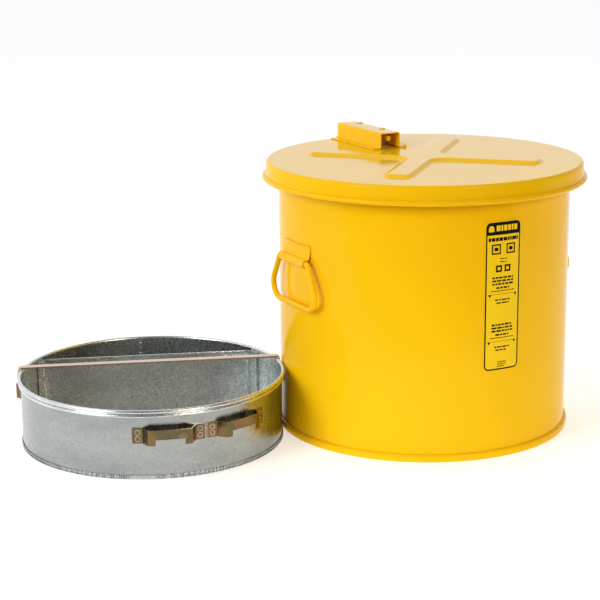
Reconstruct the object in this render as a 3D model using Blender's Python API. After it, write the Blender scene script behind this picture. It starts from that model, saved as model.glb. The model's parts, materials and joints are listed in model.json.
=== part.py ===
"""Parts-cleaning wash tank with a hinged lid, and its drain basket standing beside it.

Metres, +Z up. The origin is on the floor, in the middle of the two pieces' common outline.
The tank is modelled in its own frame: lid hinge at +Y, label at -Y, drop handles at -X and +X.
The basket is modelled in its own frame: partition and carrying strap run along X.
"""

import math

import bmesh
import bpy
from mathutils import Matrix, Vector

# ---------------------------------------------------------------- driving sizes
GAP = 0.0003                  # between pieces that touch
SEGMENTS = 64                 # facets of the large turned pieces

BODY_RADIUS = 0.200
BODY_HEIGHT = 0.3702          # floor to the top of the rolled rim
BODY_SHEET = 0.0011
RIM_ROLL = 0.004              # radius of the rolled rim
CHIME_STANDOUT = 0.0038
CHIME_HEIGHT = 0.010
FLOOR_RECESS = 0.012          # the tank's bottom sits this far above the floor

LID_SHEET = 0.0012
LID_OVERHANG = 0.0177         # lid's flat edge beyond the body wall
LID_SKIRT = 0.0225            # lid top to the middle of the skirt's bead
LID_FLARE = 0.0022            # the skirt widens this much before its bead
LID_EDGE = 0.0045             # rounding between the lid's top and its skirt
LID_BEAD = 0.0033             # radius of the skirt's rolled bead
RIB_HEIGHT = 0.0019
RIB_HALF_WIDTH = 0.0205
RIB_MARGIN = 0.0527           # end of a rib to the lid's flat edge
RIB_SLOPE = 0.0045            # width of a rib's sloping side
RIB_END_CORNER = 0.013
RIB_INNER_FILLET = 0.018

CHANNEL_WIDTH = 0.032
CHANNEL_HEIGHT = 0.0225
CHANNEL_SHEET = 0.0016
CHANNEL_FLANGE = 0.0125
CHANNEL_CORNER = 0.003
CHANNEL_MOUTH = 0.089         # lid centre to the open end
CHANNEL_SETBACK = 0.0045      # closed end to the lid's edge
FLANGE_SETBACK = 0.001        # flange's end to the closed end

PIN_RADIUS = 0.003
PIN_STANDOFF = 0.0093         # hinge pin beyond the skirt's bead
PIN_DROP = 0.0102             # hinge pin below the body's rim
HINGE_SHEET = 0.002
LEAF_CLEARANCE = 0.0024       # leaf to the channel's inner wall, each side
LEAF_REACH = 0.068            # how far the leaf lies on the lid
LEAF_FALL = 30.0              # degrees, from the lid down to the pin
SIDE_PLAY = 0.0004            # leaf to ear, each side
EAR_SHEET = 0.0025
EAR_RADIUS = 0.007
EAR_DEPTH = 0.012             # pin down to the ear's lower corner
BRACKET_LENGTH = 0.042
BRACKET_FOOT = 0.014          # ear's width at its lower end
BRACKET_CLEARANCE = 0.0035    # under the lid's bead

ROD_DIAMETER = 0.0076
ROD_RECESS = 0.004            # channel's mouth to the rod's end
ROD_PIN_SETBACK = 0.005       # link pin to the rod's inner end
GUIDE_SHEET = 0.004
GUIDE_CLEARANCE = 0.0022      # rear guide to the leaf, and guide's edge over the rod
LINK_HEADROOM = 0.0036        # rod to the channel's roof
LINK_SHEET = 0.0008
LINK_WIDTH = 0.010
LINK_PIN_RADIUS = 0.0015
LINK_LENGTH = 0.020
LINK_EYE_SETBACK = 0.004      # eye to the plate's end
LINK_SPAN = 0.026             # link pin to post
POST_SETBACK = 0.021          # post to the channel's closed end
POST_RADIUS = 0.003

WIRE_DIAMETER = 0.0076        # drop handle
HANDLE_DROP = 0.1187          # handle's hinge line below the rim
HANDLE_PLATE_WIDTH = 0.068
HANDLE_PLATE_HEIGHT = 0.023   # above the hinge line
HANDLE_SHEET = 0.0015
HANDLE_LENGTH = 0.061         # hinge line to the middle of the grip
HANDLE_HALF_GRIP = 0.071      # where the sloping sides would meet the grip's line
GRIP_CORNER = 0.020
SHOULDER_CORNER = 0.006
SHOULDER_PLAY = 0.0045        # plate end to the handle's shoulder
WIRE_PLAY = 0.0004
WIRE_STANDOFF = 0.0012        # wire off the tank's wall

LABEL_WIDTH = 0.0546
LABEL_HEIGHT = 0.200
LABEL_DROP = 0.0512           # label's top below the rim
LABEL_SHEET = 0.0004
LABEL_CORNER = 0.008
LABEL_TURN = -1.5             # degrees off the tank's front

LEDGE_DROP = 0.062            # ledge top below the rim
LEDGE_HEIGHT = 0.026
LEDGE_SHEET = 0.002
LEDGE_SPAN = 10.5             # degrees
LEDGE_TURNS = (30, 153.5, 270)
LEDGE_GRIP = 0.005            # ledge beyond the hanger it carries

HANGER_CLEARANCE = 0.0069     # hanger's outer face to the tank's inner wall
HANGER_STANDOFF = 0.014       # basket wall to the hanger's outer face
HANGER_SHEET = 0.0015
HANGER_HEIGHT = 0.0205
HANGER_NOTCH = 0.0078         # cut out of the lower edge between the feet
HANGER_TOP = 0.0238           # hanger's top below the basket's rim
TAB_SPAN = 4.5                # degrees, each end
STEP_SPAN = 2.2
FOOT_SPAN = 2.8
HANGER_SPAN = 30.4
HANGER_TURNS = (273.5, 157.0, 33.5)
SPARE_HANGER_TURN = 304.9

BASKET_HEIGHT = 0.0938
BASKET_SHEET = 0.0009
BASKET_RIM = 0.0026           # radius of the rolled rim
BASKET_BEAD = 0.0023
BEAD_DROP = 0.0083            # bead's middle below the rim's top
BEAD_STANDOUT = 0.0034        # bead beyond the wall
FLOOR_SHEET = 0.0014
LIP_SHEET = 0.0011            # wire floor's edge, turned up outside the wall
LIP_HEIGHT = 0.0065
PARTITION_SHEET = 0.001
PARTITION_OFFSET = 0.098
PARTITION_DROP = 0.0055
PARTITION_FLANGE = 0.017
HEM_HEIGHT = 0.008
HEM_SHEET = 0.0026
STRAP_WIDTH = 0.012
STRAP_SHEET = 0.0022
STRAP_OFFSET = 0.040
STRAP_TURNDOWN = 0.014

TANK_TURN = 28.5              # degrees, the tank's front faces right of -Y
BASKET_TURN = 8.0
BASKET_BEARING = 192.2        # direction from the tank to the basket
BASKET_SPACING = 0.0012       # chime to basket at the floor

# ---------------------------------------------------------------- sizes that follow
BODY_INSIDE = BODY_RADIUS - BODY_SHEET
LID_UNDERSIDE = BODY_HEIGHT + GAP
LID_TOP = LID_UNDERSIDE + LID_SHEET
LID_RADIUS = BODY_RADIUS + LID_OVERHANG
SKIRT_RADIUS = LID_RADIUS + LID_FLARE
LID_OUTSIDE = SKIRT_RADIUS + LID_BEAD
RIB_REACH = LID_RADIUS - RIB_MARGIN
CHANNEL_END = LID_RADIUS - CHANNEL_SETBACK
PIN_Y = LID_OUTSIDE + PIN_STANDOFF
PIN_Z = BODY_HEIGHT - PIN_DROP
LEAF_WIDTH = CHANNEL_WIDTH - 2 * (CHANNEL_SHEET + LEAF_CLEARANCE)
LEAF_LAY = LID_TOP + GAP + HINGE_SHEET / 2
LEAF_CURL = PIN_RADIUS + GAP + HINGE_SHEET / 2
LEAF_BEND = (PIN_Y + LEAF_CURL * math.sin(math.radians(LEAF_FALL))
             - (LEAF_LAY - PIN_Z - LEAF_CURL * math.cos(math.radians(LEAF_FALL)))
             / math.tan(math.radians(LEAF_FALL)))
ROD_RADIUS = ROD_DIAMETER / 2
ROD_Z = LID_TOP + GAP + CHANNEL_HEIGHT - CHANNEL_SHEET - LINK_HEADROOM - ROD_RADIUS
ROD_START = CHANNEL_MOUTH + ROD_RECESS
POST_Y = CHANNEL_END - POST_SETBACK
ROD_PIN_Y = POST_Y - LINK_SPAN
ROD_END = ROD_PIN_Y + ROD_PIN_SETBACK
GUIDE_REAR = LEAF_BEND - LEAF_REACH - GUIDE_CLEARANCE - GUIDE_SHEET
GUIDE_FRONT = (ROD_START + GUIDE_REAR) / 2
BASKET_RADIUS = BODY_INSIDE - HANGER_CLEARANCE - HANGER_STANDOFF
BASKET_INSIDE = BASKET_RADIUS - BASKET_SHEET
BASKET_RIM_RADIUS = BASKET_INSIDE + 2 * BASKET_RIM
BASKET_FOOT_RADIUS = BASKET_RADIUS + GAP + LIP_SHEET
HANGER_RADIUS = BASKET_RADIUS + HANGER_STANDOFF
CHIME_RADIUS = BODY_RADIUS + GAP + CHIME_STANDOUT
HANDLE_N = BODY_RADIUS + GAP + WIRE_DIAMETER / 2 + WIRE_STANDOFF
HANDLE_Z = BODY_HEIGHT - HANDLE_DROP
LABEL_BASE = BODY_HEIGHT - LABEL_DROP - LABEL_HEIGHT

PITCH = CHIME_RADIUS + BASKET_FOOT_RADIUS + BASKET_SPACING
SHIFT_X = PITCH * math.cos(math.radians(BASKET_BEARING))
SHIFT_Y = PITCH * math.sin(math.radians(BASKET_BEARING))
TANK_X = (HANGER_RADIUS - SHIFT_X - LID_OUTSIDE) / 2
TANK_Y = (HANGER_RADIUS - SHIFT_Y - LID_OUTSIDE) / 2


def inside(radius):
    """The largest radius that clears a faceted wall's inner face."""
    return radius * math.cos(math.pi / SEGMENTS) - GAP


# ---------------------------------------------------------------- materials
def material(name, colour, roughness, metallic=0.0):
    made = bpy.data.materials.new(name)
    made.use_nodes = True
    shader = made.node_tree.nodes["Principled BSDF"]
    shader.inputs["Base Color"].default_value = (*colour, 1.0)
    shader.inputs["Roughness"].default_value = roughness
    shader.inputs["Metallic"].default_value = metallic
    return made


def make_materials():
    return {
        "paint": material("yellow_enamel", (0.93, 0.56, 0.012), 0.18),
        "galvanised": material("galvanised_steel", (0.55, 0.57, 0.58), 0.42, 1.0),
        "zinc": material("yellow_zinc_plate", (0.62, 0.46, 0.30), 0.34, 1.0),
        "mesh": material("wire_mesh", (0.42, 0.43, 0.44), 0.5, 1.0),
        "label": material("label_film", (0.90, 0.62, 0.03), 0.35),
        "brass": material("link_brass", (0.72, 0.50, 0.20), 0.35, 1.0),
        "steel": material("bright_steel", (0.60, 0.60, 0.61), 0.3, 1.0),
    }


# ---------------------------------------------------------------- shape helpers
def arc(centre, radius, start, end, steps):
    """Points on an arc, both ends included; angles in degrees."""
    points = []
    for i in range(steps + 1):
        turn = math.radians(start + (end - start) * i / steps)
        points.append((centre[0] + radius * math.cos(turn), centre[1] + radius * math.sin(turn)))
    return points


def polar(radius, degrees):
    turn = math.radians(degrees)
    return (radius * math.cos(turn), radius * math.sin(turn))


def rounded(corners, radii, steps=4):
    """A closed outline with each corner replaced by an arc of its own radius."""
    outline = []
    count = len(corners)
    for i in range(count):
        before, here, after = (Vector(corners[(i + k) % count]) for k in (-1, 0, 1))
        back, on = (before - here).normalized(), (after - here).normalized()
        half = back.angle(on) / 2
        centre = here + (back + on).normalized() * (radii[i] / math.sin(half))
        first = here + back * (radii[i] / math.tan(half)) - centre
        sweep = math.pi - 2 * half
        if back.cross(on) > 0:
            sweep = -sweep
        for k in range(steps + 1):
            outline.append(tuple(centre + Matrix.Rotation(sweep * k / steps, 2) @ first))
    return outline


def sheet_outline(path, thickness):
    """Closed outline of a sheet that follows an open path, half its thickness each side."""
    left, right = [], []
    for i, point in enumerate(path):
        here = Vector(point)
        before = Vector(path[max(i - 1, 0)])
        after = Vector(path[min(i + 1, len(path) - 1)])
        back = (here - before).normalized() if i else (after - here).normalized()
        on = (after - here).normalized() if i < len(path) - 1 else back
        normal = (back + on).normalized().orthogonal()
        reach = thickness / 2 / max(normal.dot(back.orthogonal()), 0.3)
        left.append(tuple(here + normal * reach))
        right.append(tuple(here - normal * reach))
    return left, right


def finish(bm, name, finish_material, parent):
    bmesh.ops.remove_doubles(bm, verts=bm.verts, dist=1e-7)
    bmesh.ops.recalc_face_normals(bm, faces=bm.faces)
    mesh = bpy.data.meshes.new(name)
    bm.to_mesh(mesh)
    bm.free()
    mesh.shade_smooth()
    mesh.set_sharp_from_angle(angle=math.radians(35))
    mesh.materials.append(finish_material)
    piece = bpy.data.objects.new(name, mesh)
    bpy.context.collection.objects.link(piece)
    piece.parent = parent
    if parent:
        piece.location = parent.get("mesh_origin", (0.0, 0.0, 0.0))
    return piece


def turned(name, outline, finish_material, parent, closed=True, segments=SEGMENTS, bm_only=False):
    """Spin an (r, z) outline round Z; an open outline starts and ends on the axis."""
    bm = bmesh.new()
    verts = [bm.verts.new((r, 0.0, z)) for r, z in outline]
    ends = verts[1:] + verts[:1] if closed else verts[1:]
    edges = [bm.edges.new(pair) for pair in zip(verts, ends)]
    bmesh.ops.spin(bm, geom=verts + edges, cent=(0, 0, 0), axis=(0, 0, 1),
                   angle=math.tau, steps=segments, use_merge=True)
    bmesh.ops.remove_doubles(bm, verts=bm.verts, dist=1e-6)
    bmesh.ops.dissolve_degenerate(bm, edges=bm.edges, dist=1e-6)
    return bm if bm_only else finish(bm, name, finish_material, parent)


def lofted(name, sections, finish_material, parent, cyclic=False):
    """Bridge equal loops of points in turn, and cap the two ends unless it is cyclic."""
    bm = bmesh.new()
    loops = [[bm.verts.new(point) for point in section] for section in sections]
    followers = loops[1:] + loops[:1] if cyclic else loops[1:]
    for loop, following in zip(loops, followers):
        for i in range(len(loop)):
            k = (i + 1) % len(loop)
            bm.faces.new((loop[i], loop[k], following[k], following[i]))
    if not cyclic:
        bm.faces.new(loops[0])
        bm.faces.new(loops[-1])
    return finish(bm, name, finish_material, parent)


def extruded(name, outline, low, high, finish_material, parent, axis="Z"):
    """A flat outline given thickness along X (outline in y, z) or along Z (outline in x, y)."""
    def place(point, along):
        return (along, point[0], point[1]) if axis == "X" else (point[0], point[1], along)

    bm = bmesh.new()
    face = bm.faces.new([bm.verts.new(place(p, low)) for p in outline])
    side = bmesh.ops.extrude_face_region(bm, geom=[face])
    moved = [v for v in side["geom"] if isinstance(v, bmesh.types.BMVert)]
    bmesh.ops.translate(bm, verts=moved, vec=place((0, 0), high - low))
    return finish(bm, name, finish_material, parent)


def bent_sheet(name, path, thickness, low, high, finish_material, parent, axis="X"):
    left, right = sheet_outline(path, thickness)
    return extruded(name, left + right[::-1], low, high, finish_material, parent, axis)


def ribbon(name, path, thickness, lows, highs, finish_material, parent):
    """A standing strip that follows a plan path, with its own low and high edge at each point."""
    left, right = sheet_outline(path, thickness)
    sections = []
    for a, b, low, high in zip(left, right, lows, highs):
        sections.append([(*a, low), (*b, low), (*b, high), (*a, high)])
    return lofted(name, sections, finish_material, parent)


def rod(name, outline, length_axis, place, finish_material, parent, segments=16):
    """A turned piece with its axis along X, Y or Z; outline in (radius, distance along)."""
    bm = turned(name, outline, None, None, closed=False, segments=segments, bm_only=True)
    turns = {"X": Matrix.Rotation(math.pi / 2, 3, "Y"), "Y": Matrix.Rotation(-math.pi / 2, 3, "X"),
             "Z": Matrix.Identity(3)}
    bmesh.ops.rotate(bm, verts=bm.verts, cent=(0, 0, 0), matrix=turns[length_axis])
    bmesh.ops.translate(bm, verts=bm.verts, vec=place)
    return finish(bm, name, finish_material, parent)


def shape(piece, operation, cutter):
    """Join or cut with another object, which stays only as a hidden wire guide."""
    modifier = piece.modifiers.new(cutter.name, "BOOLEAN")
    modifier.operation = operation
    modifier.solver = "EXACT"
    modifier.object = cutter
    cutter.hide_render = True
    cutter.display_type = "WIRE"


def frame_empty(name, location, degrees=0.0, parent=None, mesh_origin=(0.0, 0.0, 0.0)):
    empty = bpy.data.objects.new(name, None)
    bpy.context.collection.objects.link(empty)
    empty.parent = parent
    empty.location = location
    empty.rotation_euler = (0.0, 0.0, math.radians(degrees))
    empty["mesh_origin"] = mesh_origin
    return empty


# ---------------------------------------------------------------- tank
def tank_shell(finishes, tank):
    roll = (BODY_INSIDE + RIM_ROLL, BODY_HEIGHT - RIM_ROLL)
    start = -math.degrees(math.acos((BODY_RADIUS - roll[0]) / RIM_ROLL))
    outline = [(BODY_INSIDE, 0.0), (BODY_RADIUS, 0.0)] + arc(roll, RIM_ROLL, start, 180, 8)
    turned("tank_shell", outline, finishes["paint"], tank)


def tank_bottom(finishes, tank):
    outer = BODY_INSIDE - GAP
    lip = outer - BODY_SHEET
    knuckle = 0.003
    top = FLOOR_RECESS + BODY_SHEET
    outline = [(0.0, top), (outer - knuckle, top), (outer, top - knuckle), (outer, GAP),
               (lip, GAP), (lip, FLOOR_RECESS - knuckle), (lip - knuckle, FLOOR_RECESS), (0.0, FLOOR_RECESS)]
    turned("tank_bottom", outline, finishes["paint"], tank, closed=False)


def bottom_chime(finishes, tank):
    inner = BODY_RADIUS + GAP
    round_off = 0.0013
    outline = [(inner, 0.0), (CHIME_RADIUS - round_off, 0.0), (CHIME_RADIUS, round_off),
               (CHIME_RADIUS, CHIME_HEIGHT * 0.65), (CHIME_RADIUS - round_off, CHIME_HEIGHT * 0.88),
               (inner, CHIME_HEIGHT)]
    turned("bottom_chime", outline, finishes["paint"], tank)


def level_label(finishes, tank):
    inner = BODY_RADIUS + GAP
    half = LABEL_WIDTH / 2
    columns = [half - LABEL_CORNER * (1 - math.cos(math.radians(a))) for a in (0, 30, 60, 90)]
    columns += [half * 0.4]
    columns = sorted([-c for c in columns] + columns)
    sections = []
    for across in columns:
        into = max(abs(across) - (half - LABEL_CORNER), 0.0)
        lift = LABEL_CORNER - math.sqrt(max(LABEL_CORNER ** 2 - into ** 2, (LABEL_CORNER * 0.02) ** 2))
        low, high = LABEL_BASE + lift, LABEL_BASE + LABEL_HEIGHT - lift
        turn = 270 + LABEL_TURN + math.degrees(across / BODY_RADIUS)
        a, b = polar(inner, turn), polar(inner + LABEL_SHEET, turn)
        sections.append([(*a, low), (*b, low), (*b, high), (*a, high)])
    lofted("level_label", sections, finishes["label"], tank)


def handle_frame(side):
    """Outward and sideways directions of a drop handle, side -1 at -X and +1 at +X."""
    return Vector((side, 0.0, 0.0)), Vector((0.0, side, 0.0))


def handle_plate(finishes, tank, side, name):
    """The plate lies on the curved wall at its top and rolls straight over the wire below."""
    outward, across = handle_frame(side)
    curl = WIRE_DIAMETER / 2 + WIRE_PLAY + HANDLE_SHEET / 2
    hook = arc((HANDLE_N, HANDLE_Z), curl, 118, -95, 8)
    flat_n = BODY_RADIUS + GAP + HANDLE_SHEET / 2
    top = HANDLE_Z + HANDLE_PLATE_HEIGHT
    sections = []
    stations = 8
    for i in range(stations + 1):
        u = HANDLE_PLATE_WIDTH * (i / stations - 0.5)
        on_wall = math.sqrt(BODY_RADIUS ** 2 - u ** 2) - BODY_RADIUS
        path = [(flat_n + on_wall, top), (flat_n + on_wall * 0.8, top - 0.35 * HANDLE_PLATE_HEIGHT),
                (flat_n + on_wall * 0.3, hook[0][1] + 0.0035)] + hook
        left, right = sheet_outline(path, HANDLE_SHEET)
        loop = left + right[::-1]
        sections.append([outward * n + across * u + Vector((0, 0, z)) for n, z in loop])
    lofted(name, sections, finishes["paint"], tank)


def handle_ring(finishes, pivot, side, name):
    """Drop handle of round wire, hanging plumb from the plate's roll."""
    outward, across = handle_frame(side)
    shoulder = HANDLE_PLATE_WIDTH / 2 + SHOULDER_PLAY
    corners = [(-shoulder, 0.0), (-HANDLE_HALF_GRIP, -HANDLE_LENGTH),
               (HANDLE_HALF_GRIP, -HANDLE_LENGTH), (shoulder, 0.0)]
    radii = [SHOULDER_CORNER, GRIP_CORNER, GRIP_CORNER, SHOULDER_CORNER]
    route = rounded(corners, radii, steps=5)
    sides = 10
    sections = []
    for i, (u, drop) in enumerate(route):
        ahead = Vector(route[(i + 1) % len(route)]) - Vector(route[i - 1])
        normal = ahead.normalized().orthogonal()
        loop = []
        for k in range(sides):
            turn = math.tau * (k + 0.5) / sides
            aside = normal * (WIRE_DIAMETER / 2 * math.cos(turn))
            out = HANDLE_N + WIRE_DIAMETER / 2 * math.sin(turn)
            loop.append(outward * out + across * (u + aside[0]) + Vector((0, 0, HANDLE_Z + drop + aside[1])))
        sections.append(loop)
    lofted(name, sections, finishes["paint"], pivot, cyclic=True)


def drain_ledges(finishes, tank):
    """Three angle brackets inside the tank, which carry the basket's hangers to drain."""
    outer = inside(BODY_INSIDE)
    top = BODY_HEIGHT - LEDGE_DROP
    reach = HANGER_CLEARANCE + HANGER_SHEET + LEDGE_GRIP
    for i, turn in enumerate(LEDGE_TURNS):
        section = [(outer, top - LEDGE_HEIGHT), (outer, top), (outer - reach, top),
                   (outer - reach, top - LEDGE_SHEET), (outer - LEDGE_SHEET, top - LEDGE_SHEET),
                   (outer - LEDGE_SHEET, top - LEDGE_HEIGHT)]
        sections = []
        for k in range(5):
            at = turn + LEDGE_SPAN * (k / 4 - 0.5)
            sections.append([(*polar(r, at), z) for r, z in section])
        lofted(f"drain_ledge_{i + 1}", sections, finishes["paint"], tank)


# ---------------------------------------------------------------- lid hinge
def hinge_bracket(finishes, tank):
    """Folded bracket on the wall: a back plate and two ears that reach under the lid's bead."""
    wall = BODY_RADIUS + GAP
    ear_in = PIN_Y - EAR_RADIUS
    shelf = LID_TOP - LID_SKIRT - LID_BEAD - BRACKET_CLEARANCE
    foot = shelf - BRACKET_LENGTH
    half = LEAF_WIDTH / 2 + SIDE_PLAY + EAR_SHEET
    outline = [(wall, foot), (wall, shelf), (ear_in, shelf), (ear_in, PIN_Z)]
    outline += arc((PIN_Y, PIN_Z), EAR_RADIUS, 180, 0, 8)[1:]
    outline += [(PIN_Y + EAR_RADIUS, PIN_Z - EAR_DEPTH), (wall + BRACKET_FOOT, foot)]
    bracket = extruded("hinge_bracket", outline, -half, half, finishes["paint"], tank, axis="X")
    past = BRACKET_LENGTH
    slot = [(wall + EAR_SHEET, foot - past), (PIN_Y + past, foot - past),
            (PIN_Y + past, PIN_Z + past), (wall + EAR_SHEET, PIN_Z + past)]
    play = LEAF_WIDTH / 2 + SIDE_PLAY
    shape(bracket, "DIFFERENCE", extruded("bracket_slot", slot, -play, play, finishes["paint"], tank, "X"))
    bore = PIN_RADIUS + GAP
    hole = [(0.0, -half * 2), (bore, -half * 2), (bore, half * 2), (0.0, half * 2)]
    shape(bracket, "DIFFERENCE", rod("bracket_bore", hole, "X", (0, PIN_Y, PIN_Z), finishes["paint"], tank))


def hinge_pin(finishes, tank):
    half = LEAF_WIDTH / 2 + SIDE_PLAY + EAR_SHEET
    head, thick = PIN_RADIUS * 1.6, 0.0016
    face = half + GAP
    outline = [(0.0, -face - thick), (head * 0.8, -face - thick), (head, -face - thick * 0.5), (head, -face),
               (PIN_RADIUS, -face), (PIN_RADIUS, face), (head, face), (head, face + thick * 0.5),
               (head * 0.8, face + thick), (0.0, face + thick)]
    rod("hinge_pin", outline, "X", (0, PIN_Y, PIN_Z), finishes["steel"], tank)


def hinge_leaf(finishes, lid):
    """Strap on the lid that slopes over its edge and rolls round the pin."""
    roll = arc((PIN_Y, PIN_Z), LEAF_CURL, 90 - LEAF_FALL, -175, 10)
    path = [(LEAF_BEND - LEAF_REACH, LEAF_LAY), (LEAF_BEND, LEAF_LAY)] + roll
    bent_sheet("lid_hinge_leaf", path, HINGE_SHEET, -LEAF_WIDTH / 2, LEAF_WIDTH / 2, finishes["paint"], lid)


# ---------------------------------------------------------------- lid
def rib_cross(half_width, reach, corner, fillet):
    """Outline of the lid's four embossed arms, set at 45 degrees to the hinge."""
    w, r = half_width, reach
    corners = [(w, w), (w, r), (-w, r), (-w, w), (-r, w), (-r, -w), (-w, -w), (-w, -r),
               (w, -r), (w, -w), (r, -w), (r, w)]
    radii = [fillet if abs(x) == abs(y) else corner for x, y in corners]
    turn = Matrix.Rotation(math.radians(45), 2)
    return [turn @ Vector(p) for p in rounded(corners, radii)]


def lid_panel(finishes, lid):
    edge = (LID_RADIUS - LID_EDGE, LID_TOP - LID_EDGE)
    bead = (SKIRT_RADIUS, LID_TOP - LID_SKIRT)
    outline = [(0.0, LID_TOP)] + arc(edge, LID_EDGE, 90, 5, 4)
    outline += arc(bead, LID_BEAD, 107, -230, 12)
    outline += arc(edge, LID_EDGE - LID_SHEET, 5, 90, 3) + [(0.0, LID_UNDERSIDE)]
    panel = turned("lid_panel", outline, finishes["paint"], lid, closed=False)
    sink = LID_SHEET * 0.6
    slope = RIB_SLOPE * sink / RIB_HEIGHT
    low = rib_cross(RIB_HALF_WIDTH + slope, RIB_REACH + slope, RIB_END_CORNER + slope, RIB_INNER_FILLET)
    high = rib_cross(RIB_HALF_WIDTH - RIB_SLOPE, RIB_REACH - RIB_SLOPE, RIB_END_CORNER - RIB_SLOPE,
                     RIB_INNER_FILLET + RIB_SLOPE)
    sections = [[(*p, LID_TOP - sink) for p in low], [(*p, LID_TOP + RIB_HEIGHT) for p in high]]
    shape(panel, "UNION", lofted("rib_guide", sections, finishes["paint"], lid))


def lid_channel(finishes, lid):
    """Inverted channel over the hold-open rod: open towards the lid's centre, closed at the hinge."""
    base = LID_TOP + GAP
    half = CHANNEL_WIDTH / 2
    flange = half + CHANNEL_FLANGE
    top = base + CHANNEL_HEIGHT
    corners = [(-half, base), (half, base), (half, top), (-half, top)]
    cover = rounded(corners, [0.0005, 0.0005, CHANNEL_CORNER, CHANNEL_CORNER], steps=3)
    sections = [[(x, y, z) for x, z in cover] for y in (CHANNEL_MOUTH, CHANNEL_END - CHANNEL_CORNER)]
    end = [(x * 0.93, CHANNEL_END, base + (z - base) * 0.93) for x, z in cover]
    channel = lofted("lid_channel", sections + [end], finishes["paint"], lid)
    back = CHANNEL_END - FLANGE_SETBACK
    foot = rounded([(-flange, CHANNEL_MOUTH), (flange, CHANNEL_MOUTH), (flange, back), (-flange, back)],
                   [0.004] * 4, steps=2)
    shape(channel, "UNION", extruded("channel_flange", foot, base, base + CHANNEL_SHEET, finishes["paint"], lid))
    room = half - CHANNEL_SHEET
    deep = base - 0.002
    hollow = rounded([(-room, deep), (room, deep), (room, top - CHANNEL_SHEET), (-room, top - CHANNEL_SHEET)],
                     [0.0005, 0.0005, 0.0015, 0.0015], steps=2)
    ends = (CHANNEL_MOUTH - 0.01, CHANNEL_END - CHANNEL_SHEET)
    pocket = [[(x, y, z) for x, z in hollow] for y in ends]
    shape(channel, "DIFFERENCE", lofted("channel_hollow", pocket, finishes["paint"], lid))
    leaf_room = LEAF_WIDTH / 2 + SIDE_PLAY
    gate = [(-leaf_room, CHANNEL_END - 0.01), (leaf_room, CHANNEL_END - 0.01),
            (leaf_room, CHANNEL_END + 0.01), (-leaf_room, CHANNEL_END + 0.01)]
    gate_top = base + HINGE_SHEET + SIDE_PLAY
    shape(channel, "DIFFERENCE", extruded("leaf_gate", gate, deep, gate_top, finishes["paint"], lid))


# ---------------------------------------------------------------- hold-open rod and fusible link
def hold_open_rod(finishes, lid):
    chamfer = 0.0008
    outline = [(0.0, ROD_START), (ROD_RADIUS - chamfer, ROD_START), (ROD_RADIUS, ROD_START + chamfer),
               (ROD_RADIUS, ROD_END), (0.0, ROD_END)]
    bar = rod("hold_open_rod", outline, "Y", (0, 0, ROD_Z), finishes["paint"], lid)
    bore, past = LINK_PIN_RADIUS + GAP, ROD_DIAMETER
    hole = [(0.0, -past), (bore, -past), (bore, past), (0.0, past)]
    place = (0, ROD_PIN_Y, ROD_Z)
    shape(bar, "DIFFERENCE", rod("rod_bore", hole, "Z", place, finishes["paint"], lid, segments=12))


def rod_guides(finishes, lid):
    """Two upright plates on the lid, which carry the rod."""
    half = CHANNEL_WIDTH / 2 - CHANNEL_SHEET - 2 * GAP
    base, top = LID_TOP + GAP, ROD_Z + ROD_RADIUS + GUIDE_CLEARANCE
    bore = ROD_RADIUS + GAP
    for name, at in (("rod_guide_front", GUIDE_FRONT), ("rod_guide_rear", GUIDE_REAR)):
        sections = []
        for y in (at, at + GUIDE_SHEET):
            sections.append([(-half, y, base), (half, y, base), (half, y, top), (-half, y, top)])
        guide = lofted(name, sections, finishes["steel"], lid)
        ends = (at - GUIDE_SHEET, at + 2 * GUIDE_SHEET)
        hole = [(0.0, ends[0]), (bore, ends[0]), (bore, ends[1]), (0.0, ends[1])]
        shape(guide, "DIFFERENCE", rod(name + "_bore", hole, "Y", (0, 0, ROD_Z), finishes["steel"], lid))


def link_plate(finishes, lid, name, start, low):
    """One half of the fusible link, before its eye is cut."""
    outline = rounded([(-LINK_WIDTH / 2, start), (LINK_WIDTH / 2, start), (LINK_WIDTH / 2, start + LINK_LENGTH),
                       (-LINK_WIDTH / 2, start + LINK_LENGTH)], [0.002] * 4, steps=2)
    return extruded(name, outline, low, low + LINK_SHEET, finishes["brass"], lid)


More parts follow.
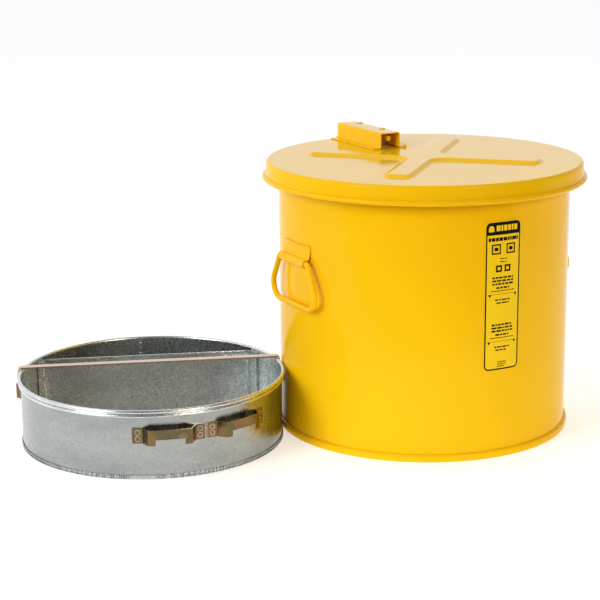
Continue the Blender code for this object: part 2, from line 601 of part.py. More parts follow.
def fusible_link(finishes, lid):
    """Two soldered brass plates tie the rod's pin to a post at the hinge end of the channel."""
    lower = ROD_Z + ROD_RADIUS + GAP
    upper = lower + LINK_SHEET + GAP
    eye = LINK_PIN_RADIUS + GAP
    ends = {"link_plate_rod": (ROD_PIN_Y, ROD_PIN_Y - LINK_EYE_SETBACK, lower),
            "link_plate_post": (POST_Y, POST_Y + LINK_EYE_SETBACK - LINK_LENGTH, upper)}
    for name, (at, start, low) in ends.items():
        plate = link_plate(finishes, lid, name, start, low)
        past = 2 * LINK_SHEET
        hole = [(0.0, low - past), (eye, low - past), (eye, low + past), (0.0, low + past)]
        shape(plate, "DIFFERENCE",
              rod(name + "_eye", hole, "Z", (0, at, 0), finishes["brass"], lid, segments=12))
    head, thick = LINK_PIN_RADIUS * 1.8, LINK_SHEET
    pin_head = lower + LINK_SHEET + GAP
    foot = ROD_Z - ROD_RADIUS
    pin = [(0.0, foot), (LINK_PIN_RADIUS, foot), (LINK_PIN_RADIUS, pin_head), (head, pin_head),
           (head, pin_head + thick), (0.0, pin_head + thick)]
    rod("link_pin", pin, "Z", (0, ROD_PIN_Y, 0), finishes["steel"], lid, segments=12)
    post_head = upper + LINK_SHEET + GAP
    shoulder = upper - GAP
    foot = LID_TOP + 2 * GAP + HINGE_SHEET
    post = [(0.0, foot), (POST_RADIUS, foot), (POST_RADIUS, shoulder), (LINK_PIN_RADIUS, shoulder),
            (LINK_PIN_RADIUS, post_head), (head, post_head), (head, post_head + thick / 2),
            (0.0, post_head + thick / 2)]
    rod("link_post", post, "Z", (0, POST_Y, 0), finishes["steel"], lid, segments=12)


# ---------------------------------------------------------------- basket
def basket_shell(finishes, basket):
    rim = (BASKET_RIM_RADIUS - BASKET_RIM, BASKET_HEIGHT - BASKET_RIM)
    bead = (BASKET_RADIUS + BEAD_STANDOUT - BASKET_BEAD, BASKET_HEIGHT - BEAD_DROP)
    floor = FLOOR_SHEET + GAP
    outline = [(BASKET_INSIDE, floor), (BASKET_RADIUS, floor)]
    outline += arc(bead, BASKET_BEAD, -112, 82, 6)
    outline += arc(rim, BASKET_RIM, -104, 180, 8)
    outline += [(BASKET_INSIDE, BASKET_HEIGHT - BASKET_RIM - 0.002)]
    turned("basket_shell", outline, finishes["galvanised"], basket)


def basket_floor(finishes, basket):
    """Woven wire floor under the band, its edge turned up outside the wall."""
    inner = BASKET_RADIUS + GAP
    round_off = LIP_SHEET * 0.7
    outline = [(0.0, 0.0), (BASKET_FOOT_RADIUS - round_off, 0.0), (BASKET_FOOT_RADIUS, round_off),
               (BASKET_FOOT_RADIUS, LIP_HEIGHT), (inner, LIP_HEIGHT), (inner, FLOOR_SHEET), (0.0, FLOOR_SHEET)]
    turned("basket_mesh_floor", outline, finishes["mesh"], basket, closed=False)


def partition(finishes, basket):
    """Upright plate across the basket, its ends turned along the wall and its top edge hemmed."""
    wall = inside(BASKET_INSIDE) - PARTITION_SHEET / 2
    meet = math.degrees(math.asin(PARTITION_OFFSET / wall))
    along = math.degrees(PARTITION_FLANGE / wall)
    bend = 4
    right = [polar(wall, meet - along + along * i / bend) for i in range(bend + 1)]
    right.append((right[-1][0] - 2 * HEM_SHEET, right[-1][1]))
    left = [(-x, y) for x, y in right[::-1]]
    path = right + left
    low = FLOOR_SHEET + GAP
    high = BASKET_HEIGHT - PARTITION_DROP
    sections = []
    sides = sheet_outline(path, PARTITION_SHEET)
    flat = 0.00002            # keeps the hem's points distinct where there is none
    for i, (a, b) in enumerate(zip(*sides)):
        a, b = Vector(a), Vector(b)
        hemmed = bend < i < len(path) - 1 - bend
        swell = (HEM_SHEET - PARTITION_SHEET) / 2 if hemmed else flat
        push = (a - b).normalized() * swell
        hem = high - HEM_HEIGHT
        loop = [(a, low), (b, low), (b, hem), (b - push, hem + 0.001), (b - push, high - 0.001),
                (b, high), (a, high), (a + push, high - 0.001), (a + push, hem + 0.001), (a, hem)]
        sections.append([(*p, z) for p, z in loop])
    lofted("partition_plate", sections, finishes["galvanised"], basket)


def carry_strap(finishes, basket):
    """Flat strap over the rim, each end turned down outside it."""
    under = BASKET_HEIGHT + GAP
    reach = math.sqrt((BASKET_RIM_RADIUS + GAP) ** 2 - (STRAP_OFFSET - STRAP_WIDTH / 2) ** 2)
    mid, side = under + STRAP_SHEET / 2, reach + STRAP_SHEET / 2
    bend = 0.0028
    path = [(-side, under - STRAP_TURNDOWN)] + arc((-side + bend, mid - bend), bend, 180, 90, 3)
    path += arc((side - bend, mid - bend), bend, 90, 0, 3) + [(side, under - STRAP_TURNDOWN)]
    left, right = sheet_outline(path, STRAP_SHEET)
    outline = left + right[::-1]
    ends = (STRAP_OFFSET - STRAP_WIDTH / 2, STRAP_OFFSET + STRAP_WIDTH / 2)
    sections = [[(x, y, z) for x, z in outline] for y in ends]
    lofted("carry_strap", sections, finishes["zinc"], basket)


def hanger(finishes, basket, name, turn):
    """Stand-off strap: a tab clinched to the wall at each end, and a notch between its two feet."""
    on_wall = BASKET_RADIUS + GAP + HANGER_SHEET / 2
    stood_off = HANGER_RADIUS - HANGER_SHEET / 2
    high = BASKET_HEIGHT - HANGER_TOP
    low = high - HANGER_HEIGHT
    half = HANGER_SPAN / 2
    tab_end, foot = half - TAB_SPAN, half - TAB_SPAN - STEP_SPAN
    notch = foot - FOOT_SPAN
    side = [(half, on_wall, low), (half - TAB_SPAN / 2, on_wall, low), (tab_end, on_wall, low),
            (foot, stood_off, low), (foot - FOOT_SPAN / 2, stood_off, low), (notch, stood_off, low),
            (notch - 0.1, stood_off, low + HANGER_NOTCH), (notch / 2, stood_off, low + HANGER_NOTCH)]
    stations = [(-at, r, z) for at, r, z in side] + [(0.0, stood_off, low + HANGER_NOTCH)] + side[::-1]
    path = [polar(r, turn + at) for at, r, z in stations]
    ribbon(name, path, HANGER_SHEET, [z for at, r, z in stations], [high] * len(path), finishes["zinc"], basket)


# ---------------------------------------------------------------- assembly
def build():
    for thing in list(bpy.data.objects):
        bpy.data.objects.remove(thing, do_unlink=True)
    finishes = make_materials()

    tank = frame_empty("tank_frame", (TANK_X, TANK_Y, 0.0), TANK_TURN)
    tank_shell(finishes, tank)
    tank_bottom(finishes, tank)
    bottom_chime(finishes, tank)
    level_label(finishes, tank)
    drain_ledges(finishes, tank)
    hinge_bracket(finishes, tank)
    hinge_pin(finishes, tank)

    for side, word in ((-1, "left"), (1, "right")):
        handle_plate(finishes, tank, side, f"handle_plate_{word}")
        at = (side * HANDLE_N, 0.0, HANDLE_Z)
        pivot = frame_empty(f"handle_pivot_{word}", at, 0.0, tank, (-at[0], 0.0, -HANDLE_Z))
        handle_ring(finishes, pivot, side, f"drop_handle_{word}")

    lid = frame_empty("lid_pivot", (0.0, PIN_Y, PIN_Z), 0.0, tank, (0.0, -PIN_Y, -PIN_Z))
    lid_panel(finishes, lid)
    lid_channel(finishes, lid)
    hinge_leaf(finishes, lid)
    hold_open_rod(finishes, lid)
    rod_guides(finishes, lid)
    fusible_link(finishes, lid)

    basket = frame_empty("basket_frame", (TANK_X + SHIFT_X, TANK_Y + SHIFT_Y, 0.0), BASKET_TURN)
    basket_shell(finishes, basket)
    basket_floor(finishes, basket)
    partition(finishes, basket)
    carry_strap(finishes, basket)
    for i, turn in enumerate(HANGER_TURNS):
        hanger(finishes, basket, f"hanger_{i + 1}", turn)
    hanger(finishes, basket, "hanger_spare", SPARE_HANGER_TURN)


build()
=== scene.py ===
# %% [markdown]
# # A wash tank with a hinged lid, and its drain basket
# A steel tank stands with its lid shut, and the basket that hangs inside it to drain stands beside
# it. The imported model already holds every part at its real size, with the joints that move them.
# This lesson builds the visible skins round that model: finer sheet metal, a label, woven wire and
# paint. Nothing here moves a part. Each piece says which body it rides on, and follows its joint.

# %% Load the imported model
import json
import math
import random

import bmesh
import bpy
from mathutils import Matrix, Vector


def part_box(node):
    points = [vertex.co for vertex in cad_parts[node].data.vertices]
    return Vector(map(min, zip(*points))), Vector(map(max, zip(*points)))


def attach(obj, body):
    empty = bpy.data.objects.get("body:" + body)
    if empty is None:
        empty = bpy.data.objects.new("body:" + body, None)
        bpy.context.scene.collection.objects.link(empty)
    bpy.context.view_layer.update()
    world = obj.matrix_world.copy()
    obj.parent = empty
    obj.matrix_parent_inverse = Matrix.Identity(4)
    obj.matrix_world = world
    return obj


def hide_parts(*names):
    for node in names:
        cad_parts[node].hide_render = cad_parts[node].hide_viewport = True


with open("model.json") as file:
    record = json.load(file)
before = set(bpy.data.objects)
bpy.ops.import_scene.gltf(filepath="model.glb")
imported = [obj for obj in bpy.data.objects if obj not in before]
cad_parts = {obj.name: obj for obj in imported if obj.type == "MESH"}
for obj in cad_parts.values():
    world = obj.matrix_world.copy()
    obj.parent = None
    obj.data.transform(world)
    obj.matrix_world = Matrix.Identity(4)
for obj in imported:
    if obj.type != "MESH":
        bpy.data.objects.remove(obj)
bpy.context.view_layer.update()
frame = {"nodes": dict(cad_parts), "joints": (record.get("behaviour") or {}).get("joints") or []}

# %% [markdown]
# ## Two working frames
# The tank and the basket are each drawn round their own axis, which is how a sheet-metal worker
# measures them. The tank's frame comes from its lid hinge: the hinge line is its X direction, so
# the hinge lies at +Y and the label at -Y. The basket's frame lies along its carrying strap, a few
# degrees off the world's X. A 4x4 matrix carries a point from either frame into the world.

# %% Frames of the tank and the basket
BASKET_TURN = math.radians(8.0)


def upright_frame(node, x_axis):
    """A frame on the floor, on the axis of a round part, with its X along x_axis."""
    low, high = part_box(node)
    x = Vector(x_axis).normalized()
    y = Vector((0, 0, 1)).cross(x)
    turn = Matrix((x, y, (0, 0, 1))).transposed().to_4x4()
    return Matrix.Translation(((low.x + high.x) / 2, (low.y + high.y) / 2, 0.0)) @ turn


lid_joint = next(joint for joint in frame["joints"] if joint["child"] == "lid")
TANK = upright_frame("bottom_chime", -Vector(lid_joint["axis"]))
BASKET = upright_frame("basket_mesh_floor", (math.cos(BASKET_TURN), math.sin(BASKET_TURN), 0.0))
print("tank axis", tuple(TANK.translation), "basket axis", tuple(BASKET.translation))

# %% [markdown]
# ## Small tools for shader nodes
# A finish is a little graph of nodes. These helpers keep each graph readable. One starts a
# material, one fills a node's inputs with numbers or links, and one adds a node with its settings
# and inputs. The others add the few kinds of node that come again and again.


# %% Material helpers
def start_material(name, metallic=0.0):
    """A new material, its node tree and its shader."""
    made = bpy.data.materials.new(name)
    made.use_nodes = True
    shader = made.node_tree.nodes["Principled BSDF"]
    shader.inputs["Metallic"].default_value = metallic
    return made, made.node_tree, shader


def fill(tree, node, inputs):
    for key, value in inputs.items():
        if isinstance(value, bpy.types.NodeSocket):
            tree.links.new(value, node.inputs[key])
        else:
            node.inputs[key].default_value = value


def add_node(tree, kind, inputs=None, **settings):
    made = tree.nodes.new(kind)
    for key, value in settings.items():
        setattr(made, key, value)
    fill(tree, made, inputs or {})
    return made


def maths(tree, operation, *values):
    """One sum on numbers or links, such as SINE or MULTIPLY_ADD."""
    made = add_node(tree, "ShaderNodeMath", dict(enumerate(values)), operation=operation)
    return made.outputs["Value"]


def ramp(tree, factor, stops):
    """A colour ramp through (position, colour) stops."""
    made = add_node(tree, "ShaderNodeValToRGB", {"Fac": factor})
    band = made.color_ramp
    for index, (position, colour) in enumerate(stops):
        stop = band.elements[index] if index < 2 else band.elements.new(position)
        stop.position, stop.color = position, (*colour, 1.0)
    return made.outputs["Color"]


def ranged(tree, value, low, high):
    """A value from 0 to 1, stretched to run from low to high."""
    inputs = {"Value": value, "To Min": low, "To Max": high}
    return add_node(tree, "ShaderNodeMapRange", inputs).outputs["Result"]


def place_on_part(tree):
    """Where a point lies on its own piece, so that a finish follows the piece."""
    return add_node(tree, "ShaderNodeTexCoord").outputs["Object"]


def noise(tree, scale, detail=2.0, stretch=None):
    where = place_on_part(tree)
    if stretch:
        inputs = {"Vector": where, "Scale": stretch}
        where = add_node(tree, "ShaderNodeMapping", inputs).outputs["Vector"]
    inputs = {"Vector": where, "Scale": scale, "Detail": detail}
    return add_node(tree, "ShaderNodeTexNoise", inputs).outputs["Fac"]


def bump(tree, height, strength, distance, below=None):
    inputs = {"Height": height, "Strength": strength, "Distance": distance}
    if below:
        inputs["Normal"] = below
    return add_node(tree, "ShaderNodeBump", inputs).outputs["Normal"]


print("material helpers ready")

# %% [markdown]
# ## Yellow baked enamel
# The tank is sprayed and baked. Such paint is glossy, but two things break up its reflections: the
# fine orange peel that droplets leave, and the slow waves of thin sheet under it. Both are bump
# maps from noise, one fine and one wide. On the walls its specular level is low, so the colour
# stays deep; the flat top of the lid was polished more, and mirrors the room at a shallow angle.
# So there are two enamels, of nearly one colour.


# %% Enamel
def enamel(name, light, deep, waves, specular):
    made, tree, shader = start_material(name)
    wave = bump(tree, noise(tree, 7.0, 1.0), waves, 0.004)
    fill(tree, shader, {
        "Base Color": ramp(tree, noise(tree, 5.0), [(0.35, deep), (0.65, light)]),
        "Roughness": ranged(tree, noise(tree, 60.0, 4.0), 0.07, 0.13),
        "Normal": bump(tree, noise(tree, 700.0, 1.0), 0.05, 0.0003, wave),
        "Specular IOR Level": specular,
    })
    return made


PAINT = enamel("yellow_enamel", (0.95, 0.560, 0.004), (0.93, 0.530, 0.005), 0.12, 0.07)
LID_PAINT = enamel("yellow_enamel_lid", (0.93, 0.560, 0.004), (0.91, 0.535, 0.005), 0.05, 0.25)
print("painted finishes:", PAINT.name, LID_PAINT.name)

# %% [markdown]
# ## Galvanised sheet
# Zinc freezes in crystals, the spangle. Voronoi cells stand for them: every cell tilts the surface
# a little its own way and has its own roughness, so the sheet glitters softly. Long streaks from
# the rolling mill lie over them, from a noise that is stretched flat. The outside of the basket's
# band takes a much darker copy of the colour: painted shade.


# %% Galvanised
CELL_TILT = 0.025
SPANGLE = 420.0


def galvanised(name, bright, dark, spangle):
    made, tree, shader = start_material(name, metallic=1.0)
    inputs = {"Vector": place_on_part(tree), "Scale": spangle}
    cell_colour = add_node(tree, "ShaderNodeTexVoronoi", inputs).outputs["Color"]
    tint = add_node(tree, "ShaderNodeSeparateColor", {"Color": cell_colour}).outputs["Red"]
    cloud = noise(tree, 14.0, 4.0, (1.0, 1.0, 2.5))
    blend = maths(tree, "MULTIPLY_ADD", tint, cloud, cloud)
    tilt = add_node(tree, "ShaderNodeVectorMath",
                    {0: cell_colour, 1: (0.5, 0.5, 0.5)}, operation="SUBTRACT")
    lean = add_node(tree, "ShaderNodeVectorMath",
                    {0: tilt.outputs["Vector"], "Scale": CELL_TILT}, operation="SCALE")
    face = add_node(tree, "ShaderNodeNewGeometry").outputs["Normal"]
    turned = add_node(tree, "ShaderNodeVectorMath",
                      {0: face, 1: lean.outputs["Vector"]}, operation="ADD")
    streak = noise(tree, 30.0, 2.0, (1.0, 1.0, 14.0))
    fill(tree, shader, {
        "Base Color": ramp(tree, blend, [(0.25, dark), (1.0, bright)]),
        "Roughness": ranged(tree, tint, 0.22, 0.29),
        "Normal": bump(tree, streak, 0.10, 0.0006, turned.outputs["Vector"]),
    })
    return made


SHEET = galvanised("galvanised_sheet", (0.72, 0.75, 0.74), (0.52, 0.55, 0.55), SPANGLE)
# The outside copy is much darker than the sheet: painted shade on the band's outer face.
SHEET_PAINTED_SHADE = galvanised("galvanised_painted_shade", (0.37, 0.395, 0.39), (0.27, 0.295, 0.29), SPANGLE)
WIRE = galvanised("galvanised_wire", (0.60, 0.61, 0.60), (0.26, 0.27, 0.27), 900.0)
print("zinc finishes:", SHEET.name, SHEET_PAINTED_SHADE.name, WIRE.name)

# %% [markdown]
# ## Yellow-passivated zinc
# The hangers and the strap are plated and dipped in a chromate, whose thin film shows rainbow
# colours: copper pink, straw and olive. Noise picks the place on a ramp through those colours.
# Their cut edges are painted much brighter, a painted highlight, so they have a finish of their
# own.


# %% Passivated zinc, brass and bright steel
def plated(name, stops, rough, scale):
    made, tree, shader = start_material(name, metallic=1.0)
    fill(tree, shader, {
        "Base Color": ramp(tree, noise(tree, scale, 3.0), stops),
        "Roughness": ranged(tree, noise(tree, scale * 5, 3.0), *rough),
        "Normal": bump(tree, noise(tree, 120.0, 2.0, (1.0, 1.0, 9.0)), 0.12, 0.0003),
    })
    return made


PASSIVATED = plated(
    "passivated_zinc",
    [(0.30, (0.22, 0.10, 0.06)), (0.46, (0.20, 0.13, 0.06)),
     (0.58, (0.11, 0.10, 0.05)), (0.72, (0.30, 0.17, 0.11))], (0.15, 0.26), 26.0)
# The edge finish is far brighter than the faces: a painted highlight on the cut edges.
PASSIVATED_EDGE_HIGHLIGHT = plated(
    "passivated_edge_highlight",
    [(0.35, (0.92, 0.52, 0.32)), (0.65, (0.90, 0.62, 0.38))], (0.2, 0.3), 40.0)
STRAP_ZINC = plated(
    "passivated_strap",
    [(0.3, (0.70, 0.50, 0.42)), (0.7, (0.60, 0.47, 0.34))], (0.25, 0.4), 18.0)
BRASS = plated(
    "link_brass",
    [(0.3, (0.72, 0.50, 0.20)), (0.7, (0.62, 0.42, 0.16))], (0.25, 0.4), 60.0)
STEEL = plated(
    "bright_steel",
    [(0.3, (0.62, 0.62, 0.63)), (0.7, (0.50, 0.50, 0.51))], (0.2, 0.35), 60.0)
print("plated finishes:", PASSIVATED.name, STRAP_ZINC.name, BRASS.name, STEEL.name)


# %% [markdown]
# ## Printing ink and dark gaps
# The label's print is a satin black ink, a little uneven as screen printing is. The insides of the
# small pressed slots see no light, so they take the same kind of finish, but rougher.

# %% Ink
def ink(name, colour, rough):
    made, tree, shader = start_material(name)
    lighter = tuple(c + 0.004 for c in colour)
    fill(tree, shader, {
        "Base Color": ramp(tree, noise(tree, 500.0), [(0.3, colour), (0.7, lighter)]),
        "Roughness": rough,
        "Specular IOR Level": 0.08,
    })
    return made


INK = ink("label_ink", (0.003, 0.003, 0.002), 0.5)
GAP_SHADE = ink("slot_shade", (0.02, 0.01, 0.002), 0.9)
print("inks:", INK.name, GAP_SHADE.name)

# %% [markdown]
# ## Outlines and how they become metal
# Almost every part here is sheet: a round one is an outline spun about the axis, and a bent one is
# a path given thickness. Blender's own Spin tool could do the first by hand; in code it is as short
# to place the points directly, and the number of steps is free. These helpers return points and
# faces, so that several of them can be joined into one mesh.


# %% Geometry helpers
def arc(centre, radius, start, end, steps):
    """Points on an arc, both ends included; angles in degrees."""
    turns = [math.radians(start + (end - start) * i / steps) for i in range(steps + 1)]
    return [(centre[0] + radius * math.cos(t), centre[1] + radius * math.sin(t)) for t in turns]


def circle(steps):
    """Angles evenly round a circle, in radians."""
    return [math.tau * k / steps for k in range(steps)]


def polar(radius, degrees):
    return (radius * math.cos(math.radians(degrees)), radius * math.sin(math.radians(degrees)))


def rounded(corners, radii, steps=8):
    """A closed outline with each corner replaced by an arc of its own radius."""
    outline = []
    for i, corner in enumerate(corners):
        here = Vector(corner)
        back = (Vector(corners[i - 1]) - here).normalized()
        on = (Vector(corners[(i + 1) % len(corners)]) - here).normalized()
        half = back.angle(on) / 2
        centre = here + (back + on).normalized() * (radii[i] / math.sin(half))
        first = here + back * (radii[i] / math.tan(half)) - centre
        sweep = math.copysign(math.pi - 2 * half, -back.cross(on))
        for k in range(steps + 1):
            outline.append(tuple(centre + Matrix.Rotation(sweep * k / steps, 2) @ first))
    return outline


def grid_faces(rows, columns, close_rows=False, close_columns=False, start=0):
    """Quads over a grid of points that was listed row by row."""
    faces = []
    for i in range(rows if close_rows else rows - 1):
        for k in range(columns if close_columns else columns - 1):
            a, b = i * columns, (i + 1) % rows * columns
            n = (k + 1) % columns
            faces.append((start + a + k, start + a + n, start + b + n, start + b + k))
    return faces


def spun(outline, closed=True, turns=180):
    """An (r, z) outline carried round the Z axis."""
    points = []
    for i in range(turns):
        c, s = math.cos(math.tau * i / turns), math.sin(math.tau * i / turns)
        points += [(r * c, r * s, z) for r, z in outline]
    return points, grid_faces(turns, len(outline), True, closed)


def lofted(sections, cyclic=False):
    """Equal closed loops of points joined in turn, with caps unless it is cyclic."""
    count = len(sections[0])
    faces = grid_faces(len(sections), count, cyclic, True)
    if not cyclic:
        last = (len(sections) - 1) * count
        faces += [tuple(range(count)), tuple(range(last, last + count))]
    return [p for section in sections for p in section], faces


def sheet_sides(path, thickness):
    """The two faces of a sheet that follows an open path, half its thickness to each side."""
    left, right = [], []
    for i, point in enumerate(path):
        here = Vector(point)
        ahead = (Vector(path[min(i + 1, len(path) - 1)]) - here).normalized()
        behind = (here - Vector(path[max(i - 1, 0)])).normalized()
        ahead, behind = ahead or behind, behind or ahead
        normal = (behind + ahead).normalized().orthogonal()
        reach = thickness / 2 / max(normal.dot(behind.orthogonal()), 0.3)
        left.append(tuple(here + normal * reach))
        right.append(tuple(here - normal * reach))
    return left, right


def joined(*shapes):
    """Several (points, faces) shapes as one."""
    points, faces = [], []
    for more_points, more_faces in shapes:
        faces += [tuple(k + len(points) for k in face) for face in more_faces]
        points += more_points
    return points, faces


def add_piece(name, shape, place, finish, body, replaces=(), crease=35.0):
    """A mesh object in the world, riding on a body, hiding the parts it replaces."""
    mesh = bpy.data.meshes.new(name)
    mesh.from_pydata([tuple(place @ Vector(p)) for p in shape[0]], [], shape[1])
    bm = bmesh.new()
    bm.from_mesh(mesh)
    bmesh.ops.remove_doubles(bm, verts=bm.verts, dist=1e-6)
    bmesh.ops.recalc_face_normals(bm, faces=bm.faces)
    bm.to_mesh(mesh)
    bm.free()
    mesh.shade_smooth()
    mesh.set_sharp_from_angle(angle=math.radians(crease))
    mesh.materials.append(finish)
    piece = bpy.data.objects.new(name, mesh)
    bpy.context.scene.collection.objects.link(piece)
    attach(piece, body)
    if replaces:
        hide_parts(*replaces)
    print(name, len(mesh.polygons), "faces on", body)
    return piece


def soften(piece, width, angle=40.0):
    """Real sheet has no knife edges: a narrow bevel catches the light along them."""
    bevel = piece.modifiers.new("soft_edges", "BEVEL")
    bevel.width, bevel.segments = width, 2
    bevel.limit_method, bevel.angle_limit = "ANGLE", math.radians(angle)
    bevel.harden_normals = True
    return piece


# %% [markdown]
# ## Tank body
# The body is a rolled and welded cylinder whose top edge is rolled outwards over nothing, to be
# stiff and blunt. One closed outline, with the wall's two faces and the roll, spun in many steps,
# gives a wall that mirrors the room without flat facets. The same tool makes the bottom chime, the
# narrow ring on which the tank stands.

# %% Body and chime
GAP = 0.0003
BODY_RADIUS, BODY_SHEET, RIM_ROLL = 0.200, 0.0011, 0.004
BODY_INSIDE = BODY_RADIUS - BODY_SHEET
BODY_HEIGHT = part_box("tank_shell")[1].z

roll_centre = (BODY_INSIDE + RIM_ROLL, BODY_HEIGHT - RIM_ROLL)
roll_start = -math.degrees(math.acos((BODY_RADIUS - roll_centre[0]) / RIM_ROLL))
body_outline = [(BODY_INSIDE, 0.0), (BODY_RADIUS, 0.0)]
body_outline += arc(roll_centre, RIM_ROLL, roll_start, 180, 16)
add_piece("tank_body", spun(body_outline), TANK, PAINT, "tank", ["tank_shell"])

chime_low, chime_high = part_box("bottom_chime")
chime_radius, chime_height = (chime_high.x - chime_low.x) / 2, chime_high.z
chime_inner, chime_round = BODY_RADIUS + GAP, 0.0016
chime_outline = [(chime_inner, 0.0)]
chime_outline += arc((chime_radius - chime_round, chime_round), chime_round, -90, 0, 5)
chime_outline += arc((chime_radius - 0.0035, chime_height - 0.0035), 0.0035, 0, 70, 6)
chime_outline.append((chime_inner, chime_height))
add_piece("chime_ring", spun(chime_outline), TANK, PAINT, "tank", ["bottom_chime"])

# %% [markdown]
# ## Lid
# The lid is pressed from one sheet. Its flat top carries four broad raised arms in a cross, which
# keep it from drumming, and its edge turns down into a skirt that ends in a rolled bead. A boolean
# would leave long thin triangles that spoil a mirror finish. Here the arms are a stack of offset
# outlines instead, each a little higher, with a narrow flat loop before and after the slope, so
# that the large flat areas keep exactly upright normals. The arms drawn here are higher and wider
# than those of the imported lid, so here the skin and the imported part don't agree.

# %% Lid outline values
LID_SHEET, LID_EDGE, LID_BEAD, LID_SKIRT = 0.0012, 0.0045, 0.0033, 0.0225
LID_RADIUS = BODY_RADIUS + 0.0177
SKIRT_RADIUS = LID_RADIUS + 0.0022
LID_UNDERSIDE = BODY_HEIGHT + GAP
LID_TOP = LID_UNDERSIDE + LID_SHEET
RIB_HEIGHT, RIB_HALF_WIDTH, RIB_SLOPE = 0.0036, 0.0220, 0.0095
RIB_REACH = LID_RADIUS - 0.0527
RIB_END_CORNER, RIB_INNER_FILLET = 0.013, 0.018
FLAT_GUARD = 0.0008


def rib_loop(grow):
    """Outline of the four arms, at 45 degrees to the hinge, moved outwards by grow."""
    w, r = RIB_HALF_WIDTH + grow, RIB_REACH + grow
    corners = [(w, w), (w, r), (-w, r), (-w, w), (-r, w), (-r, -w), (-w, -w), (-w, -r),
               (w, -r), (w, -w), (r, -w), (r, w)]
    radii = [RIB_INNER_FILLET - grow if abs(x) == abs(y) else RIB_END_CORNER + grow
             for x, y in corners]
    turn = Matrix.Rotation(math.radians(45), 2)
    return [tuple(turn @ Vector(p)) for p in rounded(corners, radii)]


# %% Lid panel
def pressed_face(level, edge_radius, turns=180):
    """The lid's flat sheet with its raised arms, as one open surface."""
    steps = 8
    loops = [(rib_loop(FLAT_GUARD), 0.0)]
    for i in range(steps + 1):
        t = i / steps
        loops.append((rib_loop(-RIB_SLOPE * t), RIB_HEIGHT * t * t * (3 - 2 * t)))
    loops.append((rib_loop(-RIB_SLOPE - FLAT_GUARD), RIB_HEIGHT))
    points = [(x, y, level + h) for loop, h in loops for x, y in loop]
    count = len(loops[0][0])
    faces = grid_faces(len(loops), count, False, True)
    faces.append(tuple(range(len(points) - count, len(points))))
    bm = bmesh.new()
    rim = [bm.verts.new((*polar(edge_radius, 360 * i / turns), level)) for i in range(turns)]
    foot = [bm.verts.new(p) for p in points[:count]]
    edges = [bm.edges.new((ring[i - 1], ring[i])) for ring in (rim, foot) for i in range(len(ring))]
    bmesh.ops.triangle_fill(bm, edges=edges, use_beauty=True)
    bm.verts.index_update()
    flat = ([tuple(v.co) for v in bm.verts], [tuple(v.index for v in f.verts) for f in bm.faces])
    bm.free()
    return joined(flat, (points, faces))


edge_centre = (LID_RADIUS - LID_EDGE, LID_TOP - LID_EDGE)
bead_centre = (SKIRT_RADIUS, LID_TOP - LID_SKIRT)
flat_radius = edge_centre[0] - FLAT_GUARD
lid_outline = [(flat_radius, LID_TOP)] + arc(edge_centre, LID_EDGE, 90, 5, 8)
lid_outline += arc(bead_centre, LID_BEAD, 107, -230, 24)
lid_outline += arc(edge_centre, LID_EDGE - LID_SHEET, 5, 90, 6) + [(flat_radius, LID_UNDERSIDE)]
lid_shape = joined(pressed_face(LID_TOP, flat_radius), pressed_face(LID_UNDERSIDE, flat_radius),
                   spun(lid_outline, closed=False))


LOOKS_UP = 0.97


def polish_top(piece):
    """Walls take the plain enamel; faces that look up keep the polished one."""
    piece.data.materials.append(PAINT)
    for face in piece.data.polygons:
        face.material_index = int(face.normal.z < LOOKS_UP)


polish_top(add_piece("lid_pressing", lid_shape, TANK, LID_PAINT, "lid", ["lid_panel"],
                     crease=30.0))

# %% [markdown]
# ## Channel over the hold-open rod
# A hat-shaped channel is welded on the lid from near its middle to the hinge. It is open towards
# the middle, where the painted end of the rod can be seen, and closed at the hinge end. The hat is
# one bent path with thickness: flange, wall, roof, wall, flange, with a small radius at each bend.

# %% Channel
CHANNEL_WIDTH, CHANNEL_HEIGHT, CHANNEL_SHEET = 0.032, 0.0225, 0.0016
CHANNEL_FLANGE, CHANNEL_CORNER, CHANNEL_MOUTH = 0.0125, 0.003, 0.089
CHANNEL_END = LID_RADIUS - 0.0045
channel_base = LID_TOP + GAP


def hat_path():
    """The channel's sheet centre line across its width, in (x, z)."""
    half = CHANNEL_WIDTH / 2 - CHANNEL_SHEET / 2
    low = channel_base + CHANNEL_SHEET / 2
    top = channel_base + CHANNEL_HEIGHT - CHANNEL_SHEET / 2
    foot, corner = 0.0020, CHANNEL_CORNER - CHANNEL_SHEET / 2
    right = [(half + CHANNEL_FLANGE, low)] + arc((half + foot, low + foot), foot, 270, 180, 5)
    right += arc((half - corner, top - corner), corner, 0, 90, 6)
    return right + [(-x, z) for x, z in right[::-1]]


def channel_shape():
    """The hat from its mouth to the hinge end, and the rounded wall that closes it there."""
    half, round_end = CHANNEL_WIDTH / 2, 0.003
    top = channel_base + CHANNEL_HEIGHT
    left, right = sheet_sides(hat_path(), CHANNEL_SHEET)
    hat = [[(x, y, z) for x, z in left + right[::-1]]
           for y in (CHANNEL_MOUTH, CHANNEL_END - round_end)]
    face = rounded([(-half, channel_base), (half, channel_base), (half, top), (-half, top)],
                   [0.0004, 0.0004, CHANNEL_CORNER, CHANNEL_CORNER])
    wall = []
    for inset, along in arc((round_end, CHANNEL_END - round_end), round_end, 180, 90, 5):
        squash = 1 - inset / CHANNEL_HEIGHT
        wall.append([(x * (1 - inset / half), along, channel_base + (z - channel_base) * squash)
                     for x, z in face])
    return joined(lofted(hat), lofted(wall))


channel = add_piece("rod_channel", channel_shape(), TANK, LID_PAINT, "lid",
                    ["lid_channel"])
polish_top(channel)
soften(channel, 0.0003)

# %% [markdown]
# Two lances are pressed up from the channel's roof. Each is a short half barrel across the channel
# that is open at one end, so it shows a dark slot there. A tapering stack of half ellipses makes
# it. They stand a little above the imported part's box.


# %% Lances
def half_ellipse(width, height, steps=8):
    return [(width / 2 * math.cos(math.pi * k / steps), height * math.sin(math.pi * k / steps))
            for k in range(steps + 1)]


